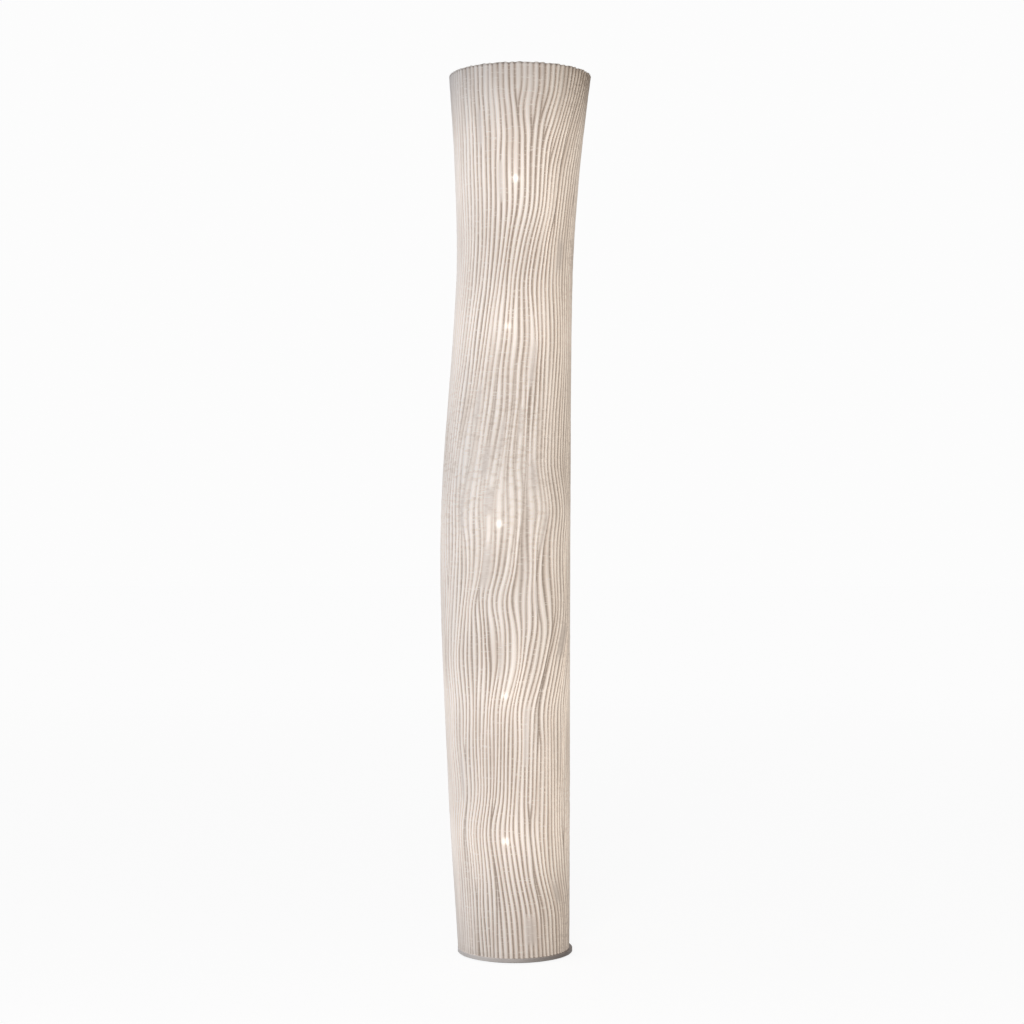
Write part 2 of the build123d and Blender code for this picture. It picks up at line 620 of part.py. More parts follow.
for lamp in LAMPS:
    with BuildPart() as lamp_bracket:
        with BuildSketch(lamp_plane(lamp)):
            with Locations((-ARM_REACH / 2, 0)):
                Rectangle(ARM_REACH, ARM_WIDTH)
            Circle(ARM_END_RADIUS)
        extrude(amount=-ARM_THICKNESS)
        with BuildSketch(lamp_plane(lamp).offset(-ARM_THICKNESS - COLLAR_BELOW_ARM)):
            with Locations((-ARM_REACH, 0)):
                Circle(COLLAR_RADIUS)
        extrude(amount=COLLAR_HEIGHT)
        with BuildSketch(lamp_plane(lamp).offset(-ARM_THICKNESS - COLLAR_BELOW_ARM)):
            Circle(NIPPLE_RADIUS + FIT)
            with Locations((-ARM_REACH, 0)):
                Circle(MAST_RADIUS + FIT)
        extrude(amount=COLLAR_HEIGHT, mode=Mode.SUBTRACT)
        with BuildSketch(radial_plane(lamp_bearing(lamp) + 180, 0, arm_top(lamp) + COLLAR_MIDDLE)):
            Circle(COLLAR_SCREW_RADIUS + FIT)
        extrude(amount=COLLAR_RADIUS, mode=Mode.SUBTRACT)
    lamp_bracket.part.label = f"lamp_bracket_{lamp}"
    export_step(lamp_bracket.part, f"parts/lamp_bracket_{lamp}.step")

    with BuildPart() as lampholder:
        with BuildSketch(lamp_upright(lamp)):
            with BuildLine():
                Polyline(
                    (NIPPLE_RADIUS + FIT, 0),
                    (HOLDER_FOOT_RADIUS, 0),
                    (HOLDER_RADIUS, HOLDER_TAPER),
                    (HOLDER_RADIUS, HOLDER_COLLAR_RISE),
                    (HOLDER_COLLAR_RADIUS, HOLDER_COLLAR_RISE),
                    (HOLDER_COLLAR_RADIUS, HOLDER_COLLAR_RISE + HOLDER_COLLAR_THICKNESS),
                    (HOLDER_RADIUS, HOLDER_COLLAR_RISE + HOLDER_COLLAR_THICKNESS),
                    (HOLDER_RADIUS, HOLDER_HEIGHT),
                    (CAP_SKIRT_RADIUS + MOUTH_PLAY, HOLDER_HEIGHT),
                    (CAP_SKIRT_RADIUS + MOUTH_PLAY, HOLDER_HEIGHT - HOLDER_MOUTH),
                    (CAP_RADIUS + CAP_PLAY, HOLDER_HEIGHT - HOLDER_MOUTH),
                    (CAP_RADIUS + CAP_PLAY, HOLDER_FLOOR),
                    (NIPPLE_RADIUS + FIT, HOLDER_FLOOR),
                    close=True,
                )
            make_face()
        revolve(axis=lamp_axis(lamp))
    lampholder.part.label = f"lampholder_{lamp}"
    export_step(lampholder.part, f"parts/lampholder_{lamp}.step")

    with BuildPart() as lamp_lead:
        with BuildLine(lamp_upright(lamp)) as lead_route:
            FilletPolyline(
                (LOOM_RADIUS + LEAD_PLAY - ARM_REACH, LEAD_HEIGHT),
                (0, LEAD_HEIGHT),
                (0, LEAD_IN_NIPPLE - ARM_THICKNESS - NIPPLE_BELOW_ARM),
                radius=LEAD_BEND,
            )
        with BuildSketch(Plane(origin=lead_route.line @ 0, z_dir=lead_route.line % 0)):
            Circle(LEAD_RADIUS)
        sweep(path=lead_route.line)
    lamp_lead.part.label = f"lamp_lead_{lamp}"
    export_step(lamp_lead.part, f"parts/lamp_lead_{lamp}.step")

    with BuildPart() as bulb_cap:
        with BuildSketch(lamp_upright(lamp)):
            with BuildLine():
                Polyline(
                    (0, BULB_TIP),
                    (CAP_TIP_RADIUS, BULB_TIP),
                    (CAP_TIP_RADIUS, BULB_TIP + CAP_TIP_HEIGHT),
                    *thread_corners(),
                    (CAP_SKIRT_RADIUS, CAP_TOP),
                    (0, CAP_TOP),
                    close=True,
                )
            make_face()
        revolve(axis=lamp_axis(lamp))
    bulb_cap.part.label = f"bulb_{lamp}_cap"
    export_step(bulb_cap.part, f"parts/bulb_{lamp}_cap.step")

    with BuildPart() as bulb_glass:
        with BuildSketch(lamp_upright(lamp)):
            with BuildLine():
                TangentArc((GLASS_RADIUS, BELLY), (GLASS_NECK_RADIUS, CAP_TOP), tangent=(0, -1))
                Line((GLASS_NECK_RADIUS, CAP_TOP), (GLASS_NECK_RADIUS - GLASS_WALL, CAP_TOP))
                TangentArc(
                    (GLASS_RADIUS - GLASS_WALL, BELLY),
                    (GLASS_NECK_RADIUS - GLASS_WALL, CAP_TOP),
                    tangent=(0, -1),
                )
                TangentArc(
                    (GLASS_RADIUS - GLASS_WALL, BELLY),
                    (GLASS_TIP_RADIUS - GLASS_WALL, GLASS_TOP - GLASS_WALL),
                    tangent=(0, 1),
                )
                Polyline(
                    (GLASS_TIP_RADIUS - GLASS_WALL, GLASS_TOP - GLASS_WALL),
                    (0, GLASS_TOP - GLASS_WALL),
                    (0, GLASS_TOP),
                    (GLASS_TIP_RADIUS, GLASS_TOP),
                )
                TangentArc((GLASS_RADIUS, BELLY), (GLASS_TIP_RADIUS, GLASS_TOP), tangent=(0, 1))
            make_face()
        revolve(axis=lamp_axis(lamp))
    bulb_glass.part.label = f"bulb_{lamp}_glass"
    export_step(bulb_glass.part, f"parts/bulb_{lamp}_glass.step")

    with BuildPart() as bulb_filament:
        with Locations(lamp_plane(lamp).offset(CAP_TOP)):
            Cylinder(STEM_RADIUS, STEM_HEIGHT, align=ON_BASE)
        with Locations(lamp_plane(lamp).offset(FILAMENT_BOTTOM)):
            Cylinder(FILAMENT_DISC_RADIUS, FILAMENT_DISC_THICKNESS, align=UNDER_TOP)
            with PolarLocations(FILAMENT_CIRCLE_RADIUS, FILAMENT_COUNT, 45):
                Cylinder(FILAMENT_RADIUS, FILAMENT_LENGTH, align=ON_BASE)
        with Locations(lamp_plane(lamp).offset(FILAMENT_BOTTOM + FILAMENT_LENGTH)):
            Cylinder(FILAMENT_DISC_RADIUS, FILAMENT_DISC_THICKNESS, align=ON_BASE)
    bulb_filament.part.label = f"bulb_{lamp}_filament"
    export_step(bulb_filament.part, f"parts/bulb_{lamp}_filament.step")

with BuildPart() as bracket_screws:
    for lamp in LAMPS:
        behind = lamp_bearing(lamp) + 180
        inner_end = radial_plane(behind, MAST_RADIUS + FIT, arm_top(lamp) + COLLAR_MIDDLE)
        with Locations(inner_end):
            Cylinder(COLLAR_SCREW_RADIUS, COLLAR_SCREW_LENGTH, align=ON_BASE)
        with Locations(inner_end.offset(COLLAR_SCREW_LENGTH)):
            driver_slot(COLLAR_SCREW_RADIUS, UNDER_TOP)
bracket_screws.part.label = "bracket_screws"
export_step(bracket_screws.part, "parts/bracket_screws.step")

with BuildPart() as holder_nipples:
    for lamp in LAMPS:
        with BuildSketch(lamp_plane(lamp).offset(-ARM_THICKNESS - NIPPLE_BELOW_ARM)):
            Circle(NIPPLE_RADIUS)
            Circle(NIPPLE_BORE, mode=Mode.SUBTRACT)
        extrude(amount=NIPPLE_BELOW_ARM + ARM_THICKNESS + HOLDER_FLOOR - NIPPLE_SHORT)
holder_nipples.part.label = "holder_nipples"
export_step(holder_nipples.part, "parts/holder_nipples.step")

with BuildPart() as holder_locknuts:
    for lamp in LAMPS:
        with BuildSketch(lamp_plane(lamp).offset(-ARM_THICKNESS)):
            RegularPolygon(LOCKNUT_WIDTH / 2, 6, major_radius=False)
            Circle(NIPPLE_RADIUS + FIT, mode=Mode.SUBTRACT)
        extrude(amount=-LOCKNUT_HEIGHT)
holder_locknuts.part.label = "holder_locknuts"
export_step(holder_locknuts.part, "parts/holder_locknuts.step")

with BuildPart() as holder_contacts:
    for lamp in LAMPS:
        with Locations(lamp_plane(lamp).offset(HOLDER_FLOOR)):
            Cylinder(CONTACT_RADIUS, CONTACT_THICKNESS, align=ON_BASE)
            Cylinder(CONTACT_PIN_RADIUS, CONTACT_HEIGHT - CONTACT_GAP, align=ON_BASE)
holder_contacts.part.label = "holder_contacts"
export_step(holder_contacts.part, "parts/holder_contacts.step")


# Shade: pleated cloth, wire frame and finial nut

shade_outside = pleated_tube(0)
shade_inside = pleated_tube(SHADE_WALL)

with BuildPart() as shade:
    skins = shade_outside.faces().filter_by(GeomType.PLANE, reverse=True)
    skins += shade_inside.faces().filter_by(GeomType.PLANE, reverse=True)
    outer_ends = shade_outside.faces().filter_by(GeomType.PLANE).sort_by(Axis.Z)
    inner_ends = shade_inside.faces().filter_by(GeomType.PLANE).sort_by(Axis.Z)
    edges = [Face(out.outer_wire(), [inn.outer_wire()]) for out, inn in zip(outer_ends, inner_ends)]
    add(Solid(Shell(skins + edges)))
shade.part.label = "shade"
export_step(shade.part, "parts/shade.step")

with BuildPart() as top_frame:
    with Locations((shade_lean(TOP_RING_HEIGHT), 0, PLATE_TOP + TOP_RING_HEIGHT)):
        Torus(ring_radius(TOP_RING_HEIGHT), WIRE_RADIUS)
    with Locations((0, 0, HUB_BOTTOM)):
        Cylinder(HUB_RADIUS, HUB_HEIGHT, align=ON_BASE)
    for degrees in ARM_WIRE_BEARINGS:
        inner = bearing(degrees) * (HUB_RADIUS + STUD_RADIUS) / 2 + Vector(0, 0, HUB_BOTTOM + HUB_HEIGHT / 2)
        middle = Vector(shade_lean(TOP_RING_HEIGHT), 0, PLATE_TOP + TOP_RING_HEIGHT)
        outer = middle + bearing(degrees) * ring_radius(TOP_RING_HEIGHT)
        with BuildSketch(Plane(origin=inner, z_dir=outer - inner)):
            Circle(ARM_WIRE_RADIUS)
        extrude(amount=(outer - inner).length)
    with BuildSketch(Plane.XY.offset(HUB_BOTTOM)):
        Circle(STUD_RADIUS + RUN)
    extrude(amount=HUB_HEIGHT, mode=Mode.SUBTRACT)
top_frame.part.label = "top_frame"
export_step(top_frame.part, "parts/top_frame.step")

with BuildPart() as bottom_ring:
    with Locations((shade_lean(BOTTOM_RING_RISE), 0, PLATE_TOP + BOTTOM_RING_RISE)):
        Torus(ring_radius(BOTTOM_RING_RISE), WIRE_RADIUS)
bottom_ring.part.label = "bottom_ring"
export_step(bottom_ring.part, "parts/bottom_ring.step")

with BuildPart() as finial_nut:
    with BuildSketch(Plane.XY.offset(HUB_TOP)):
        Circle(NUT_RADIUS)
    extrude(amount=NUT_HEIGHT)
    chamfer(finial_nut.edges().filter_by(GeomType.CIRCLE), NUT_EDGE)
    with BuildSketch(Plane.XY.offset(HUB_TOP)):
        Circle(STUD_RADIUS + RUN)
        with PolarLocations(NUT_RADIUS, NUT_FLUTES):
            Circle(NUT_FLUTE_RADIUS)
    extrude(amount=NUT_HEIGHT, mode=Mode.SUBTRACT)
finial_nut.part.label = "finial_nut"
export_step(finial_nut.part, "parts/finial_nut.step")
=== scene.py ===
# %% [markdown]
# # A floor lamp with a hand-pleated shade
# The lamp is a tall cloth tube on a weighted round base. Five candle bulbs on a mast inside shine through
# the cloth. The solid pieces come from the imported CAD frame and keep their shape. This lesson gives them
# finishes, and models the one soft piece, the pleated shade, as a sheet of cloth with a real thickness.

# %% Load the frame
import json
import math

import bpy
import numpy as np
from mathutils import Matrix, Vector


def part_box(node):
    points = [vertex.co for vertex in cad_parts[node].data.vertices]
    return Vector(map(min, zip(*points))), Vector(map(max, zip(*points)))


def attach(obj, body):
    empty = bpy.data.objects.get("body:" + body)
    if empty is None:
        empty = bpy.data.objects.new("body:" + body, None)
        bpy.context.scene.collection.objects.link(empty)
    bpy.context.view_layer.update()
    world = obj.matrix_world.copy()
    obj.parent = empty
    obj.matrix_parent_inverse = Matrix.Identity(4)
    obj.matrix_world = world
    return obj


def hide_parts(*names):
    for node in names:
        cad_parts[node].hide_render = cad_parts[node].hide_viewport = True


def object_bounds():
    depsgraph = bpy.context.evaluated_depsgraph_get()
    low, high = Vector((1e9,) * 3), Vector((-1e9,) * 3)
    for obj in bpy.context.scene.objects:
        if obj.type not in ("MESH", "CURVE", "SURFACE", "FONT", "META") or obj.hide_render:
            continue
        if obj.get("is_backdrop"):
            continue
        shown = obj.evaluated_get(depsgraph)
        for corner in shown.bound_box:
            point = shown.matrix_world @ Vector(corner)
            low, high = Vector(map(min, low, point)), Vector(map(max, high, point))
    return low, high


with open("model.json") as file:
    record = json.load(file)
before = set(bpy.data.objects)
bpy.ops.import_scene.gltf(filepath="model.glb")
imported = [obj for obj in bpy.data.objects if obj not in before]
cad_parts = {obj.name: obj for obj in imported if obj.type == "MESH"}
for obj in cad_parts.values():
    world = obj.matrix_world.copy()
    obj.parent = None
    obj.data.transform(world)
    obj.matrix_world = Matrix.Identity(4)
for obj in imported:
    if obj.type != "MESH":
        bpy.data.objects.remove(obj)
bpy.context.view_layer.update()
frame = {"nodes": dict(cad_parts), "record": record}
nodes = frame["nodes"]

# %% [markdown]
# ## The outline of the shade
# The shade is not a straight tube: it swells at the belly, narrows at the waist, flares at the rim and
# leans a little from side to side, as a tube that is gathered by hand does. The outline is a smooth curve
# through six stations, each with a height above the base plate, a radius over the pleats and a lean to
# the right.

# %% Outline through the stations
STATIONS = (  # metres: height, radius, lean
    (0.000, 0.1115, -0.0025),
    (0.330, 0.1220, -0.0120),
    (0.830, 0.1300, -0.0190),
    (1.335, 0.1165, -0.0010),
    (1.550, 0.1250, 0.0045),
    (1.740, 0.1420, 0.0100),
)
HEIGHT, RADIUS, LEAN = 0, 1, 2  # columns of the stations
SHADE_HEIGHT = STATIONS[-1][HEIGHT]
plate_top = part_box("base_plate")[1].z
shade_top = plate_top + SHADE_HEIGHT


def station_slope(index, column):
    before = STATIONS[max(index - 1, 0)]
    after = STATIONS[min(index + 1, len(STATIONS) - 1)]
    return (after[column] - before[column]) / (after[HEIGHT] - before[HEIGHT])


def outline(height, column):
    """Radius or lean at a height, on a cubic curve between the two stations around it."""
    index = 0
    while index < len(STATIONS) - 2 and height > STATIONS[index + 1][HEIGHT]:
        index += 1
    low, high = STATIONS[index], STATIONS[index + 1]
    rise = high[HEIGHT] - low[HEIGHT]
    t = (height - low[HEIGHT]) / rise
    start = low[column] * (2 * t**3 - 3 * t**2 + 1)
    start += rise * station_slope(index, column) * (t**3 - 2 * t**2 + t)
    end = high[column] * (3 * t**2 - 2 * t**3)
    end += rise * station_slope(index + 1, column) * (t**3 - t**2)
    return start + end


foot_radius = outline(0.0, RADIUS)
rim_radius = outline(SHADE_HEIGHT, RADIUS)
print("radius at the foot", round(foot_radius, 4), "and at the rim", round(rim_radius, 4))

# %% [markdown]
# ## Pleats that wander
# Each pleat is a rounded ridge between two narrow grooves. By hand they come out uneven. All of them sway
# together in long S-curves, like the grain of wood. Each one also grows wider or narrower on its way up,
# now and then a pleat starts or ends between two others, and in places the cloth lies almost flat. A
# cloth simulation could fold a sheet, but these folds are stiff and set in place, so they are worked out.
# Three short tables hold what can be seen from the front: how far the pleats have swayed at some heights,
# which ones start below the rim, and the flat places. The sway was first measured from the direction of
# the lines in the photograph, and then changed. The rest is drawn at random, from a fixed seed.

# %% Sway of the pleats
SWAY = (  # share of the height, then millimetres to the right: left, middle and right of the front
    (0.00, -25, -30, -14), (0.05, -25, -33, -18), (0.09, -25, -36, -36), (0.14, -29, -45, -45),
    (0.18, -13, -32, -42), (0.24, -19, -28, -38), (0.28, -15, -26, -38), (0.33, -20, -8, -12),
    (0.37, -16, -12, 6), (0.40, -10, -20, 6), (0.43, -5, -4, 6), (0.47, -5, 1, 9), (0.50, -8, 3, 19),
    (0.55, -1, 6, 1), (0.58, 1, 8, 6), (0.63, 8, 11, 13), (0.66, 13, 12, 15), (0.69, 17, 18, 17),
    (0.72, 18, 15, 16), (0.76, 21, 14, 13), (0.80, 28, 24, 16), (0.84, 32, 41, 26), (0.89, 31, 42, 33),
    (0.93, 40, 54, 42), (0.97, 50, 63, 55), (1.00, 51, 63, 68),
)
SWAY_SIDE = 0.58  # the left and right columns stand this far from the middle, as a share of the radius
PLEATS = 84
ROWS = 160
rng = np.random.RandomState(7)
levels = np.linspace(0.0, SHADE_HEIGHT, ROWS + 1)
share = levels / SHADE_HEIGHT
radii = np.array([outline(level, RADIUS) for level in levels])
leans = np.array([outline(level, LEAN) for level in levels])
sway_points = np.array(SWAY)
rounding = np.hanning(9)[1:-1] / np.hanning(9).sum()


def sway_curve(column):
    """One column of the table at every row, in metres, with its corners rounded over seven rows."""
    curve = np.interp(share, sway_points[:, 0], sway_points[:, column]) / 1000
    return np.convolve(np.pad(curve, len(rounding) // 2, "edge"), rounding, "valid")


sway_left, sway_centre, sway_right = (sway_curve(column) for column in (1, 2, 3))


def sway(angle, row):
    """Angle by which the pleats have swayed, bent through the three columns of the table."""
    side = np.tanh(np.cos(angle) / SWAY_SIDE) / math.tanh(1)
    tilt = (sway_right[row] - sway_left[row]) / 2
    bow = (sway_right[row] + sway_left[row]) / 2 - sway_centre[row]
    return (sway_centre[row] + tilt * side + bow * side**2) / radii[row]


print("sway at the front from", SWAY[0][2], "mm at the foot to", SWAY[-1][2], "mm at the rim")

# %% Width and depth of every pleat at every level
PLEAT_DEPTH = 0.0042


def drift(count, low, high, terms):
    """Smooth random curves over the height, mostly between -1 and 1, of low to high waves each."""
    curves = np.zeros((count, ROWS + 1))
    for _ in range(terms):
        waves = rng.uniform(low, high, (count, 1))
        turn = rng.uniform(0, 2 * math.pi, (count, 1))
        curves += np.sin(2 * math.pi * waves * share[None, :] + turn)
    return curves / math.sqrt(terms)


def hill(place, span):
    """A smooth hill that reaches 1 at a share of the height."""
    return np.exp(-(((share - place) / span) ** 2))


liveliness = 0.16 + 0.16 * hill(place=0.45, span=0.22)
width = np.exp(drift(PLEATS, low=2.0, high=8.0, terms=3) * liveliness)
depth = 1.0 + 0.20 * drift(PLEATS, low=1.0, high=9.0, terms=3)
print("pleats", PLEATS, "mean depth", round(float(depth.mean() * PLEAT_DEPTH * 1000), 2), "mm")

# %% Pleats that start or end between two others
FORKS = 34
FORK_LOWEST, FORK_HIGHEST = 0.06, 0.88  # shares of the height
FORK_RUN = 0.09  # share of the height for which a forked pleat stays squeezed
FORK_LENGTH = 0.006  # share of the height in which it closes
RIM_STARTS = ((0.960, 0), (0.935, 8), (0.950, 16), (0.925, 24), (0.900, 32))  # share of the height, bearing
RIM_RUN = 0.4
NEIGHBOURS = range(-3, 4)
LOST_WIDTH = 0.92  # share of its width that a squeezed pleat gives up
STRAY = 0.0005
sunk = np.zeros((PLEATS, ROWS + 1))


def pleat_at(bearing, place):
    """Number of the pleat that passes a bearing, in degrees right of the front, at a share of the height."""
    row = int(round(place * ROWS))
    angle = math.radians(bearing - 90)
    return int((angle - sway(angle, row)) / (2 * math.pi) * PLEATS) % PLEATS


def squeeze_out(pleat, place, way, run):
    """Squeezes a pleat into its groove for a run below (way 1) or above (way -1) a share of the height."""
    gone = 1.0 / (1.0 + np.exp(way * (share - place) / FORK_LENGTH))
    near = np.clip(1.4 * hill(place, run), 0, 1)
    sunk[pleat] = np.maximum(sunk[pleat], gone * near)
    width[pleat] *= 1.0 - LOST_WIDTH * gone * near


for pleat in rng.permutation(PLEATS)[:FORKS]:
    squeeze_out(pleat, rng.uniform(FORK_LOWEST, FORK_HIGHEST), rng.choice((-1, 1)), FORK_RUN)
# A width is divided by the mean around it, so only the nearest pleats widen beside a fork.
width /= sum(np.roll(width, step, axis=0) for step in NEIGHBOURS) / len(NEIGHBOURS)
for place, bearing in RIM_STARTS:
    squeeze_out(pleat_at(bearing, place), place, 1, RIM_RUN)
edges = np.zeros((PLEATS + 1, ROWS + 1))
edges[1:] = np.cumsum(width, axis=0) / width.sum(axis=0)
# The mean shift is taken off, so the widths don't turn the pleats as a whole.
edges -= (edges[:PLEATS] - np.arange(PLEATS)[:, None] / PLEATS).mean(axis=0)
tones = drift(PLEATS, low=1.5, high=10.0, terms=4)
wobble = STRAY * drift(PLEATS + 1, low=22.0, high=60.0, terms=3)
wobble[PLEATS] = wobble[0]
print("forks", FORKS, "and", len(RIM_STARTS), "pleats that start below the rim")

# %% Flat places
# In a flat place one or two grooves stop short, and the cloth bridges them with a fold across at both ends.
FLAT_PLACES = (  # share of the height, bearing, half of the length as a share, how many grooves stop
    (0.512, -19, 0.017, 2), (0.440, -20, 0.024, 2), (0.556, -29, 0.017, 2), (0.585, -14, 0.020, 1),
    (0.665, 22, 0.024, 2), (0.355, 58, 0.018, 2), (0.335, -9, 0.020, 1), (0.250, 18, 0.034, 1),
    (0.030, 8, 0.016, 2), (0.070, 44, 0.012, 2), (0.480, 40, 0.022, 1), (0.405, 30, 0.018, 1),
    (0.870, -25, 0.022, 1), (0.790, 52, 0.018, 2), (0.500, -48, 0.020, 2), (0.620, -40, 0.022, 1),
    (0.600, 12, 0.016, 1), (0.540, 28, 0.018, 1), (0.930, -40, 0.020, 1), (0.200, -52, 0.024, 1),
)
FLATS_BEHIND = 26  # drawn at random, at the sides and the back
flat_places = list(FLAT_PLACES)
for _ in range(FLATS_BEHIND):
    place = rng.uniform(0.05, 0.95)
    bearing = rng.uniform(75, 285)
    length = rng.uniform(0.010, 0.028)
    flat_places.append((place, bearing, length, rng.randint(1, 3)))
print("flat places", len(flat_places))

# %% Depth of the grooves
# The cloth is slack just above the belly, most of all at the front left: there the grooves are shallower.
FLATTENED = 0.75  # share of its depth that a groove loses in a flat place
slack = hill(place=0.53, span=0.15)
crest_power = 1.35 + slack
starts = 2 * math.pi * np.arange(PLEATS) / PLEATS
bearings = np.array([starts + sway(starts, row) for row in range(ROWS + 1)]).T
front_left = 0.5 + 0.5 * np.cos(bearings + math.radians(135))
near_rim = np.clip((share - 0.88) / 0.08, 0, 1)
calm = 1.10 - slack * (0.26 + 0.22 * front_left) - 0.22 * near_rim
grooves = (depth + np.roll(depth, 1, axis=0)) / 2 * calm
flatness = np.zeros((PLEATS, ROWS + 1))
for place, bearing, length, count in flat_places:
    patch = np.exp(-(((share - place) / length) ** 8))
    first = pleat_at(bearing, place)
    for groove in range(first, first + count):
        grooves[groove % PLEATS] *= 1.0 - FLATTENED * patch
        flatness[groove % PLEATS] = np.maximum(flatness[groove % PLEATS], patch)
grooves = np.vstack([grooves, grooves[:1]])
flatness = np.vstack([flatness, flatness[:1]])
print("grooves from", round(float(grooves.min()), 2), "to", round(float(grooves.max()), 2), "of their depth")

# %% [markdown]
# ## Rolling a sheet into the shade
# A flat grid is the natural start: columns become the pleats and rows become the levels. Its points are
# moved onto the pleated outline, and the two side edges meet and are merged, as the seam of the real
# cloth is. A second, coarser grid makes the inside of the cloth, and bridging both rims closes the wall.

# %% Form of the pleats
RIM_WAVE = 0.0009
RIM_DROP = 0.0010


def between(values, pleat, row, t):
    """Values at the two edges of a pleat, mixed at a share of its width."""
    return values[pleat, row] * (1 - t) + values[pleat + 1, row] * t


def pleat_form(along, row, inset):
    """Points of the wall at pleat numbers and rows, and what the cloth's finish needs to know about them."""
    pleat = np.minimum(along.astype(int), PLEATS - 1)
    t = along - pleat
    left, right = edges[pleat, row], edges[pleat + 1, row]
    angle = 2 * math.pi * (left + t * (right - left))
    angle += sway(angle, row)
    crest = np.sin(math.pi * np.clip(t, 0, 1)) ** crest_power[row] * (1 - sunk[pleat, row])
    hollow = between(grooves, pleat, row, t) * (1 - crest)
    stray = np.abs(between(wobble, pleat, row, t))
    reach = radii[row] - PLEAT_DEPTH * hollow - stray - inset
    rim_wave = RIM_WAVE * np.sin(17 * angle) * np.sin(41 * angle) - RIM_DROP
    points = np.column_stack((
        leans[row] + reach * np.cos(angle),
        reach * np.sin(angle),
        plate_top + levels[row] + np.where(row == ROWS, rim_wave, 0.0),
    ))
    noted = {
        "ridge": np.clip(1 - hollow, 0, 1),
        "flat_patch": between(flatness, pleat, row, t),
        "pleat_tone": tones[pleat, row],
    }
    return points, noted


print("rim drops by", RIM_DROP * 1000, "mm and waves by", RIM_WAVE * 1000, "mm")


# %% Grids, rolled and pleated
COLUMNS = 6
LINING_COLUMNS = 2
LINING_ROWS = ROWS // 2
CLOTH = 0.0012
SEAM = 0.00002  # points closer than this are merged


def deselect_all():
    if bpy.context.object and bpy.context.object.mode != "OBJECT":
        bpy.ops.object.mode_set(mode="OBJECT")
    bpy.ops.object.select_all(action="DESELECT")


def on_whole_mesh(operator, **settings):
    """Runs an operator of edit mode on the whole of the active mesh."""
    bpy.ops.object.mode_set(mode="EDIT")
    bpy.ops.mesh.select_all(action="SELECT")
    operator(**settings)
    bpy.ops.object.mode_set(mode="OBJECT")


def pleated_wall(name, columns, rows, inset):
    """A grid rolled into the shade's wall, with what the finish needs kept as attributes."""
    deselect_all()
    bpy.ops.mesh.primitive_grid_add(x_subdivisions=PLEATS * columns, y_subdivisions=rows, size=2)
    wall = bpy.context.object
    wall.name = name
    mesh = wall.data
    flat = np.zeros(len(mesh.vertices) * 3)
    mesh.vertices.foreach_get("co", flat)
    flat = flat.reshape(-1, 3)
    across = np.rint((flat[:, 0] + 1) / 2 * PLEATS * columns)
    row = np.rint((flat[:, 1] + 1) / 2 * rows).astype(int) * (ROWS // rows)
    points, noted = pleat_form(across / columns, row, inset)
    mesh.vertices.foreach_set("co", points.ravel())
    for label, values in noted.items():
        mesh.attributes.new(label, "FLOAT", "POINT").data.foreach_set("value", values)
    on_whole_mesh(bpy.ops.mesh.remove_doubles, threshold=SEAM)
    return wall


shade = pleated_wall("pleated_shade", COLUMNS, ROWS, 0.0)
lining = pleated_wall("shade_lining", LINING_COLUMNS, LINING_ROWS, CLOTH)
on_whole_mesh(bpy.ops.mesh.flip_normals)
print("outside", len(shade.data.polygons), "faces, inside", len(lining.data.polygons))

# %% [markdown]
# The two walls are joined into one mesh. Both raw edges, at the rim and at the foot, are loops of open
# edges one inside the other, so they are picked by height and bridged. Smooth shading then rounds the
# ridges.

# %% Closing the wall
RAW_EDGE_REACH = 0.005
CREASE_ANGLE = math.radians(70)
deselect_all()
lining.select_set(True)
shade.select_set(True)
bpy.context.view_layer.objects.active = shade
bpy.ops.object.join()


def bridge_raw_edges(height):
    """Bridges the two open loops near a height."""
    bpy.ops.object.mode_set(mode="EDIT")
    bpy.ops.mesh.select_mode(type="EDGE")
    bpy.ops.mesh.select_all(action="DESELECT")
    bpy.ops.mesh.select_non_manifold(
        extend=False, use_wire=False, use_multi_face=False, use_non_contiguous=False, use_verts=False,
        use_boundary=True)
    bpy.ops.object.mode_set(mode="OBJECT")
    points = shade.data.vertices
    for edge in shade.data.edges:
        if edge.select:
            edge.select = all(abs(points[i].co.z - height) < RAW_EDGE_REACH for i in edge.vertices)
    bpy.ops.object.mode_set(mode="EDIT")
    bpy.ops.mesh.bridge_edge_loops()
    bpy.ops.object.mode_set(mode="OBJECT")


bridge_raw_edges(plate_top)
bridge_raw_edges(shade_top)
on_whole_mesh(bpy.ops.mesh.normals_make_consistent, inside=False)
bpy.ops.object.shade_smooth_by_angle(angle=CREASE_ANGLE)
cloth_area = sum(face.area for face in shade.data.polygons) / 2
triangles = sum(len(face.vertices) - 2 for face in shade.data.polygons)
print("shade:", triangles, "triangles, cloth area", round(cloth_area, 3), "square metres")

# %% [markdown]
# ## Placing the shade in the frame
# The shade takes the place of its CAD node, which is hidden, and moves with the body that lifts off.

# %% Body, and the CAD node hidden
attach(shade, "shade")
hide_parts("shade")

# %% [markdown]
# ## Tools for finishes
# Every finish is a small tree of nodes. A few short helpers add nodes and join them, so that the cells
# below read as a list of what the finish is made of.


# %% Node helpers
def put(tree, kind, settings=None, **values):
    """Adds a node, sets its options, and sets or links its inputs by name, or by number as i0, i1 and on."""
    node = tree.nodes.new(kind)
    for key, value in (settings or {}).items():
        setattr(node, key, value)
    for key, value in values.items():
        numbered = key[0] == "i" and key[1:].isdigit()
        socket = node.inputs[int(key[1:]) if numbered else key.replace("_", " ")]
        if isinstance(value, bpy.types.NodeSocket):
            tree.links.new(value, socket)
        else:
            socket.default_value = value
    return node


